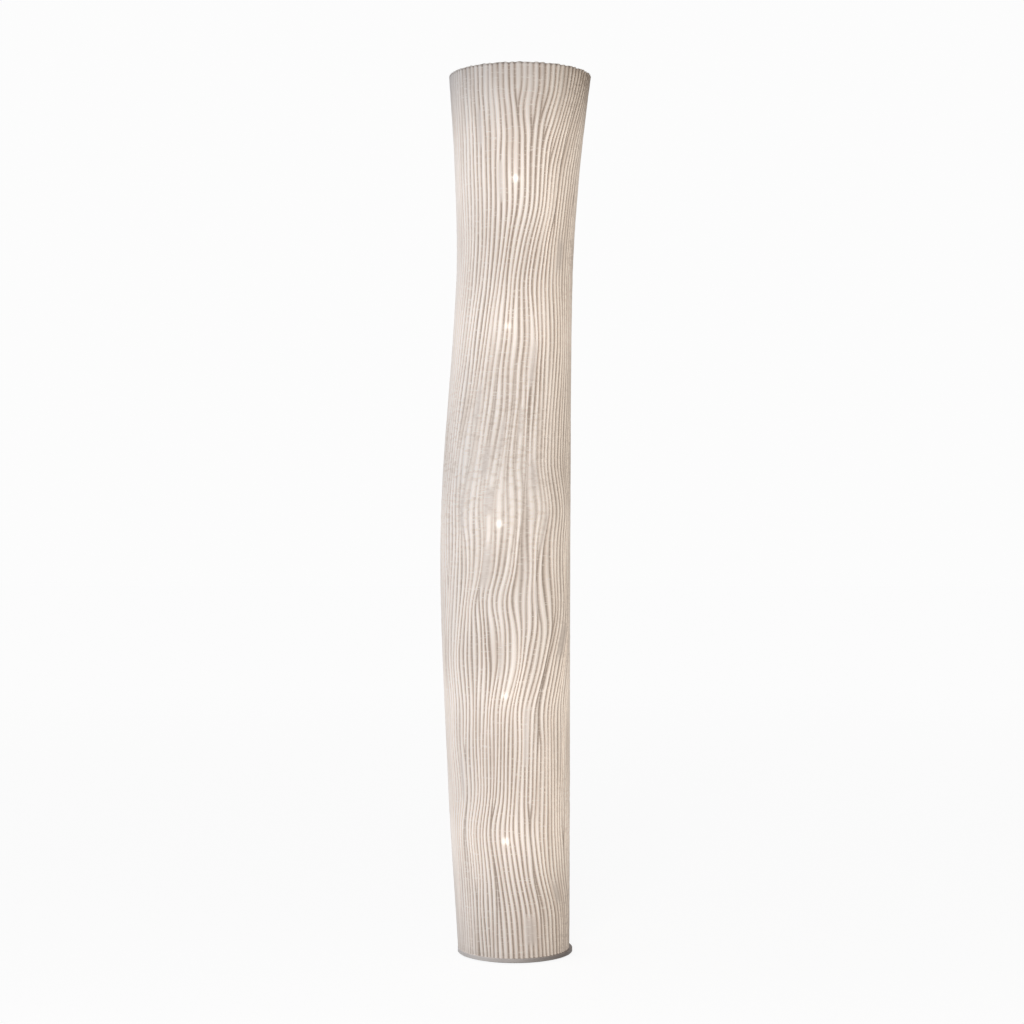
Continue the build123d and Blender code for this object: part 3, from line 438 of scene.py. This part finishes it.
def math_node(tree, operation, first, second=0.0):
    return put(tree, "ShaderNodeMath", {"operation": operation}, i0=first, i1=second).outputs[0]


def times(tree, first, second):
    return math_node(tree, "MULTIPLY", first, second)


def plus(tree, first, second):
    return math_node(tree, "ADD", first, second)


def larger(tree, first, second):
    return math_node(tree, "MAXIMUM", first, second)


def spread(tree, value, low, high, to_low, to_high):
    """Maps a value's range from low to high onto another range, and holds it at the ends."""
    return put(tree, "ShaderNodeMapRange", None, Value=value, From_Min=low, From_Max=high,
               To_Min=to_low, To_Max=to_high).outputs[0]


def fade_in(tree, value, start, full, strength=1.0):
    """A mask that is 0 where a value is at start, and has its strength where the value is at full."""
    return spread(tree, value, start, full, 0.0, strength)


node_helpers = (put, math_node, times, plus, larger, spread, fade_in)
print("helpers:", [helper.__name__ for helper in node_helpers])


# %% Colour helpers and the start of a finish
def srgb(red, green, blue):
    """A colour as seen on a screen, from 0 to 255, as linear light."""
    def linear(c):
        c /= 255
        return c / 12.92 if c <= 0.04045 else ((c + 0.055) / 1.055) ** 2.4
    return (linear(red), linear(green), linear(blue), 1.0)


def mix_colour(tree, factor, first, second, blend="MIX"):
    """Mixes two colours. The mix node keeps its factor at input 0 and its colours at inputs 6 and 7."""
    settings = {"data_type": "RGBA", "blend_type": blend}
    return put(tree, "ShaderNodeMix", settings, i0=factor, i6=first, i7=second).outputs[2]


def start_finish(name):
    finish = bpy.data.materials.new(name)
    finish.use_nodes = True
    tree = finish.node_tree
    return finish, tree, tree.nodes["Principled BSDF"], put(tree, "ShaderNodeTexCoord").outputs["Object"]


print("middle grey of 128 is", round(srgb(128, 128, 128)[0], 3), "in linear light")

# %% [markdown]
# ## Effects that finishes share
# Paint, plastic and metal all show the same two things close up: a cloudy change of tone, and a fine
# unevenness of the surface. Both are node groups, built once, so each finish only states how large and
# how strong they are.


# %% Node groups for cloudiness and surface grain
def new_group(name, inputs, outputs):
    group = bpy.data.node_groups.new(name, "ShaderNodeTree")
    for kind, direction in ((inputs, "INPUT"), (outputs, "OUTPUT")):
        for label, socket in kind:
            group.interface.new_socket(name=label, in_out=direction, socket_type=socket)
    return group, group.nodes.new("NodeGroupInput"), group.nodes.new("NodeGroupOutput")


def use_group(tree, group, **values):
    return put(tree, "ShaderNodeGroup", {"node_tree": group}, **values)


GRAIN_HEIGHT = 0.0004
cloudiness, given, result = new_group(
    "cloudiness",
    (("Vector", "NodeSocketVector"), ("Scale", "NodeSocketFloat")),
    (("Mask", "NodeSocketFloat"),),
)
clouds = put(cloudiness, "ShaderNodeTexNoise", None,
             Vector=given.outputs[0], Scale=given.outputs[1], Detail=4.0)
cloudiness.links.new(fade_in(cloudiness, clouds.outputs[0], start=0.36, full=0.64), result.inputs[0])

surface_grain, given, result = new_group(
    "surface_grain",
    (("Vector", "NodeSocketVector"), ("Scale", "NodeSocketFloat"), ("Strength", "NodeSocketFloat"),
     ("Stretch", "NodeSocketVector")),
    (("Normal", "NodeSocketVector"), ("Mask", "NodeSocketFloat")),
)
stretched = put(surface_grain, "ShaderNodeVectorMath", {"operation": "MULTIPLY"},
                i0=given.outputs[0], i1=given.outputs[3])
grain = put(surface_grain, "ShaderNodeTexNoise", None,
            Vector=stretched.outputs[0], Scale=given.outputs[1], Detail=3.0)
uneven = put(surface_grain, "ShaderNodeBump", None,
             Strength=given.outputs[2], Distance=GRAIN_HEIGHT, Height=grain.outputs[0])
surface_grain.links.new(uneven.outputs[0], result.inputs[0])
surface_grain.links.new(grain.outputs[0], result.inputs[1])
print("groups:", [group.name for group in bpy.data.node_groups])


# %% One recipe for the rigid finishes
def rigid_finish(name, pale, deep, roughness, metallic=0.0, clouds=14.0, grain=900.0, strength=0.08,
                 stretch=(1, 1, 1), shaded_right=None):
    """Paint, plastic or metal: two tones in clouds, a roughness that follows them, and a fine grain.

    A piece that gets painted shade towards its right side gives the colour of that shade as shaded_right.
    """
    finish, tree, shader, place = start_finish(name)
    mask = use_group(tree, cloudiness, Vector=place, Scale=clouds).outputs["Mask"]
    surface = use_group(tree, surface_grain, Vector=place, Scale=grain, Strength=strength, Stretch=stretch)
    tone = mix_colour(tree, mask, deep, pale)
    if shaded_right:
        across = put(tree, "ShaderNodeSeparateXYZ", None, Vector=place).outputs["X"]
        # Painted shade: the colour is darkened towards the right side.
        right_shade = fade_in(tree, across, start=-0.08, full=0.10, strength=0.85)
        tone = mix_colour(tree, right_shade, tone, shaded_right)
    worn = times(tree, surface.outputs["Mask"], mask)
    tree.links.new(tone, shader.inputs["Base Color"])
    tree.links.new(spread(tree, worn, 0.0, 0.7, roughness[0], roughness[1]), shader.inputs["Roughness"])
    tree.links.new(surface.outputs["Normal"], shader.inputs["Normal"])
    shader.inputs["Metallic"].default_value = metallic
    return finish


finishes = {
    # The base plate is painted darker towards its right side: painted shade.
    "base_metal": rigid_finish(
        "base_grey_steel", srgb(244, 237, 232), srgb(232, 224, 219), (0.45, 0.6),
        metallic=0.1, strength=0.05, shaded_right=srgb(92, 78, 71)),
    "ballast_iron": rigid_finish(
        "cast_iron", srgb(74, 74, 76), srgb(50, 50, 52), (0.6, 0.85),
        metallic=0.3, clouds=30.0, grain=420.0, strength=0.5),
    "mast_paint": rigid_finish(
        "white_mast_paint", srgb(236, 234, 229), srgb(228, 225, 219), (0.32, 0.46), strength=0.04),
    "wire_paint": rigid_finish(
        "white_wire_paint", srgb(232, 230, 224), srgb(222, 219, 212), (0.34, 0.5), clouds=40.0),
    "zinc_steel": rigid_finish(
        "zinc_steel", srgb(190, 191, 193), srgb(160, 161, 164), (0.28, 0.42),
        metallic=0.95, clouds=60.0, grain=1400.0, strength=0.12, stretch=(1.0, 1.0, 0.2)),
    "brass": rigid_finish(
        "brass", srgb(214, 180, 108), srgb(188, 152, 84), (0.24, 0.38), metallic=0.95, clouds=60.0),
    "holder_plastic": rigid_finish(
        "ivory_holder_plastic", srgb(238, 234, 226), srgb(230, 225, 215), (0.36, 0.5),
        clouds=30.0, grain=1500.0, strength=0.06),
    "terminal_plastic": rigid_finish(
        "terminal_plastic", srgb(232, 229, 218), srgb(222, 218, 205), (0.45, 0.6)),
    "cable_sleeve": rigid_finish(
        "white_cable_sleeve", srgb(236, 235, 231), srgb(226, 225, 220), (0.3, 0.42)),
    "bulb_cap_metal": rigid_finish(
        "nickel_cap", srgb(204, 203, 200), srgb(180, 179, 177), (0.22, 0.36), metallic=0.95, clouds=80.0),
    "rubber": rigid_finish(
        "black_rubber", srgb(44, 44, 45), srgb(34, 34, 35), (0.6, 0.8), clouds=60.0),
    "felt": rigid_finish(
        "dark_felt", srgb(72, 71, 72), srgb(50, 50, 52), (0.9, 1.0),
        clouds=90.0, grain=2200.0, strength=0.9),
}
print(len(finishes), "rigid finishes")

# %% [markdown]
# ## Bulbs: clear glass and glowing filaments
# The bulbs are only seen when the shade is lifted. Their glass is clear and thin, and the filaments are
# the light source, so they emit a warm white that changes a little along the rods.

# %% Glass and filament
glass, tree, shader, place = start_finish("clear_bulb_glass")
smears = use_group(tree, cloudiness, Vector=place, Scale=45.0).outputs["Mask"]
tree.links.new(spread(tree, smears, 0.0, 1.0, 0.01, 0.05), shader.inputs["Roughness"])
shader.inputs["Base Color"].default_value = (1.0, 0.985, 0.96, 1.0)
shader.inputs["Transmission Weight"].default_value = 1.0
shader.inputs["IOR"].default_value = 1.45
finishes["bulb_glass"] = glass

filament, tree, shader, place = start_finish("glowing_filament")
flicker = use_group(tree, cloudiness, Vector=place, Scale=240.0).outputs["Mask"]
glowing = mix_colour(tree, flicker, srgb(255, 214, 140), srgb(255, 236, 190))
coated = mix_colour(tree, flicker, srgb(236, 190, 96), srgb(250, 222, 150))
tree.links.new(glowing, shader.inputs["Emission Color"])
tree.links.new(coated, shader.inputs["Base Color"])
shader.inputs["Emission Strength"].default_value = 4.0
shader.inputs["Roughness"].default_value = 0.5
finishes["filament"] = filament
print("bulb finishes:", glass.name, filament.name)

# %% [markdown]
# ## Light through the cloth
# The light of the bulbs comes through the cloth. True scattering would be slow and would not survive an
# export, so the light is written where it falls: a halo on the four sides of each bulb, weaker on the
# flanks, and a small bright spot at its front and back. A node group works out both from the places of
# the filaments.

# %% Where the bulbs shine through
SPOT_RISE = (0.019, 0.012, 0.001, -0.010, -0.021)  # from each bulb's glow up to its spot in the cloth
SPOT_STRENGTH = (0.9, 0.55, 0.85, 0.6, 0.9)
GLOW_DROP = 0.018  # from the top of a filament down to its glow
SPOT_REACH = 0.011
SPOT_FADE = 1.3
HALO_REACH = 0.13
HALO_FADE = 1.5
FLANK_HALO = 0.5
FRONT_AND_BACK = (1.0, 0.0, 1.0)
LEFT_AND_RIGHT = (0.0, 1.0, 1.0)
lamp_glow, given, result = new_group(
    "lamp_glow",
    (("Vector", "NodeSocketVector"),),
    (("Halo", "NodeSocketFloat"), ("Spot", "NodeSocketFloat")),
)


def fading_light(plane, centre, reach, fade, strength):
    """Light that fades with the distance from a centre in a plane, so it falls on two sides of the shade."""
    to_centre = [-along * kept for along, kept in zip(centre, plane)]
    offset = put(lamp_glow, "ShaderNodeVectorMath", {"operation": "MULTIPLY_ADD"},
                 i0=given.outputs[0], i1=plane, i2=to_centre)
    away = put(lamp_glow, "ShaderNodeVectorMath", {"operation": "LENGTH"}, i0=offset.outputs[0])
    near = fade_in(lamp_glow, away.outputs["Value"], start=reach, full=0.0)
    return times(lamp_glow, math_node(lamp_glow, "POWER", near, fade), strength)


halo = spot = 0.0
for number, (rise, strength) in enumerate(zip(SPOT_RISE, SPOT_STRENGTH), start=1):
    low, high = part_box(f"bulb_{number}_filament")
    centre = ((low.x + high.x) / 2, (low.y + high.y) / 2, high.z - GLOW_DROP + rise)
    beside = (0.0, 0.0, centre[2])
    halo = plus(lamp_glow, fading_light(FRONT_AND_BACK, centre, HALO_REACH, HALO_FADE, 1.0), halo)
    halo = plus(lamp_glow, fading_light(LEFT_AND_RIGHT, beside, HALO_REACH, HALO_FADE, FLANK_HALO), halo)
    spot = plus(lamp_glow, fading_light(FRONT_AND_BACK, centre, SPOT_REACH, SPOT_FADE, strength), spot)
    print("bulb", number, "glows at", tuple(round(c, 3) for c in centre))
lamp_glow.links.new(halo, result.inputs[0])
lamp_glow.links.new(spot, result.inputs[1])

# %% [markdown]
# ## The pleated cloth
# Stiffened, slightly see-through cloth: ivory on the ridges, taupe where the grooves hold shadow, a
# little greyer where it lies flat, with a fine weave and faint creases across the pleats. The tone starts
# from the height of the pleat, which the mesh carries as an attribute, and each line below adds one more
# thing that changes it.

# %% Cloth: tone of the pleats
# The darker tones towards the grooves are painted shade.
PLEAT_TONES = (  # height of the ridge, colour
    (0.02, (162, 143, 128)),
    (0.24, (200, 185, 173)),
    (0.56, (237, 226, 217)),
    (0.85, (251, 243, 236)),
)
FLAT_RIDGE = 0.62  # a flat place is toned as if its ridges had this share of their height


def attribute(tree, name):
    return put(tree, "ShaderNodeAttribute", {"attribute_name": name}).outputs["Fac"]


cloth, tree, shader, place = start_finish("pleated_ivory_cloth")
flat_patch = attribute(tree, "flat_patch")
pleat_tone = attribute(tree, "pleat_tone")
ridge = times(tree, attribute(tree, "ridge"), spread(tree, flat_patch, 0.0, 1.0, 1.0, FLAT_RIDGE))
ramp = put(tree, "ShaderNodeValToRGB", None, Fac=ridge)
stops = ramp.color_ramp.elements
while len(stops) < len(PLEAT_TONES):
    stops.new(0.5)
for stop, (position, colour) in zip(stops, PLEAT_TONES):
    stop.position = position
    stop.color = srgb(*colour)
tone = ramp.outputs["Color"]
print("tones from groove to ridge:", len(stops))

# %% Cloth: clouds, flecks and small marks
FLAT_GREY = srgb(214, 203, 197)
CLOUD_TAUPE = srgb(204, 186, 170)
DULL_TAUPE = srgb(190, 171, 156)
FLECK_IVORY = srgb(250, 241, 232)
BEAD_TAUPE = srgb(158, 140, 126)
TICK_IVORY = srgb(250, 243, 236)


def stretched_noise(tree, place, scale, detail):
    """Noise with its own scale along each axis."""
    stretched = put(tree, "ShaderNodeVectorMath", {"operation": "MULTIPLY"}, i0=place, i1=scale)
    noise = put(tree, "ShaderNodeTexNoise", None, Vector=stretched.outputs[0], Scale=1.0, Detail=detail)
    return noise.outputs[0]


broad = use_group(tree, cloudiness, Vector=place, Scale=9.0).outputs["Mask"]
small = use_group(tree, cloudiness, Vector=place, Scale=55.0).outputs["Mask"]
speckle = stretched_noise(tree, place, scale=(70.0, 70.0, 150.0), detail=2.0)
ticks = stretched_noise(tree, place, scale=(48.0, 48.0, 430.0), detail=1.0)
in_groove = fade_in(tree, ridge, start=0.5, full=0.1)
beads = times(tree, fade_in(tree, speckle, start=0.56, full=0.70, strength=0.45), in_groove)
tone = mix_colour(tree, times(tree, flat_patch, 0.70), tone, FLAT_GREY)
tone = mix_colour(tree, times(tree, broad, 0.14), tone, CLOUD_TAUPE)
tone = mix_colour(tree, fade_in(tree, pleat_tone, start=-0.2, full=1.8, strength=0.55), tone, DULL_TAUPE)
tone = mix_colour(tree, times(tree, small, 0.10), tone, FLECK_IVORY)
tone = mix_colour(tree, beads, tone, BEAD_TAUPE)
tone = mix_colour(tree, fade_in(tree, ticks, start=0.60, full=0.70, strength=0.55), tone, TICK_IVORY)
print("cloth has", len(tree.nodes), "nodes so far")

# %% [markdown]
# The flanks are painted as the light falls on them: the right one is warmer, with painted shade at its
# edge and more crumpled than the front, and the left one is a little cooler, with painted shade at its
# edge. The tint of the light is multiplied, so that the pleats keep their contrast, and the painted
# shade is mixed in. How far a point lies to the right of the mast, from -1 to 1, says which flank it is on.

# %% Cloth: the two flanks
WARM_LIGHT_TINT = (1.0, 0.93, 0.82, 1.0)
COOL_LIGHT_TINT = (0.92, 0.955, 1.0, 1.0)
RIGHT_EDGE_SHADE = srgb(144, 124, 108)
LEFT_EDGE_SHADE = srgb(186, 178, 180)
axes = put(tree, "ShaderNodeSeparateXYZ", None, Vector=place)
height = axes.outputs["Z"]
square_x, square_y = (math_node(tree, "POWER", axes.outputs[axis], 2.0) for axis in "XY")
from_mast = math_node(tree, "SQRT", plus(tree, square_y, square_x))
rightness = math_node(tree, "DIVIDE", axes.outputs["X"], from_mast)
# Painted light: the right flank is tinted warmer.
tone = mix_colour(tree, fade_in(tree, rightness, start=0.25, full=1.0), tone, WARM_LIGHT_TINT, "MULTIPLY")
# Painted shade darkens the right edge.
tone = mix_colour(tree, fade_in(tree, rightness, start=0.93, full=1.0, strength=0.42), tone, RIGHT_EDGE_SHADE)
# Painted light: the left flank is tinted cooler.
tone = mix_colour(tree, fade_in(tree, rightness, start=0.10, full=-0.80), tone, COOL_LIGHT_TINT, "MULTIPLY")
# Painted shade darkens the left edge.
tone = mix_colour(tree, fade_in(tree, rightness, start=-0.80, full=-0.98, strength=0.20), tone, LEFT_EDGE_SHADE)
print("flank tints:", WARM_LIGHT_TINT[:3], COOL_LIGHT_TINT[:3])

# %% Cloth: painted shade of grooves and crumples on the right flank and above the belly
CREASE_SHADE_TAUPE = srgb(146, 126, 108)
SLACK_HEIGHT = 0.95  # above the base plate
# Ribs across the pleats are painted as dark lines: painted shade of crumples.
ribs = stretched_noise(tree, place, scale=(40.0, 40.0, 130.0), detail=3.0)
rib_clouds = spread(tree, broad, 0.0, 1.0, 0.4, 1.0)
rib_shade = times(tree, fade_in(tree, ribs, start=0.48, full=0.60, strength=0.70), rib_clouds)
# The grooves of the right flank are darkened: painted shade. The random pleat tone is mixed in too.
groove_shade = fade_in(tree, ridge, start=0.90, full=0.40, strength=0.72)
uneven_tone = fade_in(tree, pleat_tone, start=0.3, full=1.3, strength=0.45)
shade_and_tone = larger(tree, rib_shade, larger(tree, groove_shade, uneven_tone))
right_shade_and_tone = times(tree, fade_in(tree, rightness, start=0.52, full=0.95), shade_and_tone)
# Speckles around the slack height are darkened: painted shade of crumples.
from_slack = math_node(tree, "ABSOLUTE", math_node(tree, "SUBTRACT", height, plate_top + SLACK_HEIGHT))
slack_crease_shade = times(tree, fade_in(tree, from_slack, start=0.30, full=0.08, strength=0.26),
                       fade_in(tree, speckle, start=0.50, full=0.64))
tone = mix_colour(tree, larger(tree, right_shade_and_tone, slack_crease_shade), tone, CREASE_SHADE_TAUPE)
print("cloth has", len(tree.nodes), "nodes so far")

# %% Cloth: painted shade at the foot, a darker rim, and painted shade along the foot edge
FOOT_TAUPE = srgb(150, 136, 126)
RIM_DARK_AND_FOOT_SHADE_TAUPE = srgb(126, 115, 107)
low_down = fade_in(tree, height, start=plate_top + 0.09, full=plate_top, strength=0.24)
foot_shade = times(tree, low_down, math_node(tree, "ABSOLUTE", rightness))
tone = mix_colour(tree, foot_shade, tone, FOOT_TAUPE)
# The top few millimetres of the cloth are darker, more so in the grooves.
rim_edge = fade_in(tree, height, start=shade_top - 0.006, full=shade_top - 0.002, strength=0.8)
rim_edge = times(tree, rim_edge, spread(tree, ridge, 0.3, 0.9, 1.0, 0.4))
# The bottom 14 mm of the cloth is darkened: painted shade.
foot_edge_shade = fade_in(tree, height, start=plate_top + 0.014, full=plate_top, strength=0.22)
tone = mix_colour(tree, plus(tree, rim_edge, foot_edge_shade), tone, RIM_DARK_AND_FOOT_SHADE_TAUPE)
tree.links.new(tone, shader.inputs["Base Color"])
print("raw edges at", round(plate_top, 4), "and", round(shade_top, 4), "m")

# %% [markdown]
# The surface is a fine weave with creases across the pleats, deeper where the cloth lies flat. Both are
# too small to model, so they are a bump. The weave follows the UV map that the flat grid had, as threads
# follow cloth.

# %% Cloth: weave and creases
WARP_SCALE = 190.0
WEFT_SCALE = 300.0
WEAVE_SHARE = 0.25
CREASE_SHARE = 0.35
FLAT_CREASE_SHARE = 0.9
weave_place = put(tree, "ShaderNodeUVMap").outputs[0]
warp = put(tree, "ShaderNodeTexWave", {"bands_direction": "X"}, Vector=weave_place, Scale=WARP_SCALE)
weft = put(tree, "ShaderNodeTexWave", {"bands_direction": "Y"}, Vector=weave_place, Scale=WEFT_SCALE)
weave = times(tree, times(tree, warp.outputs["Fac"], weft.outputs["Fac"]), WEAVE_SHARE)
crease = stretched_noise(tree, place, scale=(30.0, 30.0, 420.0), detail=3.0)
crease = times(tree, crease, plus(tree, times(tree, flat_patch, FLAT_CREASE_SHARE), CREASE_SHARE))
bump = put(tree, "ShaderNodeBump", None, Strength=0.35, Distance=0.0012, Height=plus(tree, crease, weave))
tree.links.new(bump.outputs[0], shader.inputs["Normal"])
tree.links.new(spread(tree, small, 0.0, 1.0, 0.72, 0.88), shader.inputs["Roughness"])
shader.inputs["Sheen Weight"].default_value = 0.03
shader.inputs["Specular IOR Level"].default_value = 0.25
print("weave of", WARP_SCALE, "by", WEFT_SCALE, "bands")

# %% [markdown]
# An even glow fills the shade between the bulbs. It is stronger in the lower half, weaker where the cloth
# is slack, and fades towards the foot and the rim. Ridges let more of it through than grooves, and the
# halos and spots of the bulbs are added.

# %% Cloth: light of the bulbs
BLACK = (0.0, 0.0, 0.0, 1.0)
GLOW_WARM = (1.0, 0.88, 0.77, 1.0)
SPOT_WHITE = (1.0, 0.97, 0.92, 1.0)
HALO_STRENGTH = 0.15
EVEN_UPPER = 0.33
EVEN_LOWER = 0.38
glow = use_group(tree, lamp_glow, Vector=place)
through = spread(tree, ridge, 0.10, 0.80, 0.34, 1.0)
above_foot = spread(tree, height, plate_top, plate_top + 0.24, 0.64, 1.0)
below_rim = spread(tree, height, shade_top, shade_top - 0.13, 0.15, 1.0)
at_slack = spread(tree, from_slack, 0.0, 0.15, 0.85, 1.0)
even = spread(tree, height, plate_top + 0.85, plate_top + 0.65, EVEN_UPPER, EVEN_LOWER)
even = times(tree, times(tree, above_foot, below_rim), times(tree, at_slack, even))
halo_light = times(tree, plus(tree, times(tree, glow.outputs["Halo"], HALO_STRENGTH), even), through)
spot_light = times(tree, glow.outputs["Spot"], spread(tree, crease, 0.1, 0.25, 0.5, 0.85))
warm = mix_colour(tree, halo_light, BLACK, GLOW_WARM)
white = mix_colour(tree, spot_light, BLACK, SPOT_WHITE)
tree.links.new(mix_colour(tree, 1.0, warm, white, "ADD"), shader.inputs["Emission Color"])
shader.inputs["Emission Strength"].default_value = 1.0
shade.data.materials.clear()
shade.data.materials.append(cloth)
print("cloth has", len(tree.nodes), "nodes")

# %% [markdown]
# ## Dressing the CAD pieces
# The record says which finish each solid has, so the finishes above are handed out by that name.

# %% Finishes by slot
dressed = 0
for subpart in frame["record"]["subparts"]:
    finish = finishes.get(subpart["material_slot"])
    if finish:
        piece = nodes[subpart["node"]]
        piece.data.materials.clear()
        piece.data.materials.append(finish)
        dressed += 1
print(dressed, "nodes dressed")

# %% [markdown]
# ## Floor, light and camera
# The photograph shows the lamp alone on white, in soft light from the front that is cooler on the left. A
# wide pale floor catches the shadow, and the world is white where the camera looks, with less light than
# that on the lamp itself. A Light Path node tells the rays by which a surface is seen from those that
# light it.

# %% Floor
FLOOR_SIZE = 40.0
FLOOR_DROP = 0.0003  # keeps the floor clear of the felt's underside
PAPER_NEAR = (0.885, 0.885, 0.885, 1.0)
PAPER_FAR = (0.91, 0.91, 0.91, 1.0)


def seen_rays(tree):
    """1 for the rays by which something is seen, also in metal and through glass, and 0 for other rays."""
    rays = put(tree, "ShaderNodeLightPath")
    mirrored = larger(tree, rays.outputs["Is Glossy Ray"], rays.outputs["Is Transmission Ray"])
    return larger(tree, rays.outputs["Is Camera Ray"], mirrored)


deselect_all()
bpy.ops.mesh.primitive_plane_add(size=FLOOR_SIZE, location=(0.0, 0.0, -FLOOR_DROP))
floor = bpy.context.object
floor.name = "pale_floor"
floor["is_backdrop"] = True
floor_paint, tree, shader, place = start_finish("pale_floor_paint")
distance = put(tree, "ShaderNodeVectorMath", {"operation": "LENGTH"}, i0=place).outputs["Value"]
paper = mix_colour(tree, fade_in(tree, distance, start=0.5, full=6.0), PAPER_NEAR, PAPER_FAR)
tree.links.new(mix_colour(tree, seen_rays(tree), BLACK, paper), shader.inputs["Emission Color"])
shader.inputs["Emission Strength"].default_value = 1.0
shader.inputs["Base Color"].default_value = (0.16, 0.16, 0.16, 1.0)
shader.inputs["Roughness"].default_value = 0.9
shader.inputs["Specular IOR Level"].default_value = 0.0
floor.data.materials.append(floor_paint)
print("floor", tuple(round(c, 1) for c in floor.dimensions))

# %% World
LIGHT_LEFT, LIGHT_RIGHT = 0.50, 0.34
TINT_LEFT = (0.86, 0.94, 1.05, 1.0)
TINT_RIGHT = (1.0, 0.90, 0.80, 1.0)
BACKDROP = 0.975
world = bpy.data.worlds.new("white_room")
bpy.context.scene.world = world
world.use_nodes = True
tree = world.node_tree
tree.nodes.clear()
way = put(tree, "ShaderNodeSeparateXYZ", None, Vector=put(tree, "ShaderNodeTexCoord").outputs["Generated"])
to_right = way.outputs["X"]
room_light = spread(tree, to_right, -1.0, 1.0, LIGHT_LEFT, LIGHT_RIGHT)
room_tint = mix_colour(tree, fade_in(tree, to_right, start=-1.0, full=1.0), TINT_LEFT, TINT_RIGHT)
room = put(tree, "ShaderNodeBackground", None, Color=room_tint, Strength=room_light)
backdrop = put(tree, "ShaderNodeBackground", None, Color=(1.0, 1.0, 1.0, 1.0), Strength=BACKDROP)
seen = seen_rays(tree)
either = put(tree, "ShaderNodeMixShader", None, i0=seen, i1=room.outputs[0], i2=backdrop.outputs[0])
put(tree, "ShaderNodeOutputWorld", None, Surface=either.outputs[0])
print("room light", LIGHT_LEFT, "on the left and", LIGHT_RIGHT, "on the right")

# %% Window light
WINDOW_PLACE = (-0.6, -4.05, 1.7)
WINDOW_AIM = (0.0, 0.0, 0.9)
deselect_all()
bpy.ops.object.light_add(type="AREA", location=WINDOW_PLACE)
window = bpy.context.object
window.name = "window_front"
window.rotation_euler = (Vector(WINDOW_AIM) - Vector(WINDOW_PLACE)).to_track_quat("-Z", "Y").to_euler()
window.data.shape = "RECTANGLE"
window.data.size = 1.2
window.data.size_y = 2.6
window.data.energy = 64.0
window.data.color = (1.0, 0.99, 0.98)
print("window light of", window.data.energy, "W")

# %% Camera
CAMERA_PLACE = (-0.006, -4.03, 0.879)
bpy.ops.object.camera_add(location=CAMERA_PLACE, rotation=(math.radians(90), 0, 0))
camera = bpy.context.object
camera.data.lens = 70.8
camera.data.sensor_width = 36.0
bpy.context.scene.camera = camera
bpy.context.scene.view_settings.view_transform = "Standard"
print("camera", tuple(round(c, 3) for c in camera.location), "lens", camera.data.lens)

# %% [markdown]
# ## Size
# The cloth may stand a little proud of the solids, so the box around everything shown is printed.

# %% The box around what is shown
low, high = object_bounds()
print("visual box", [round(c, 4) for c in low], [round(c, 4) for c in high])
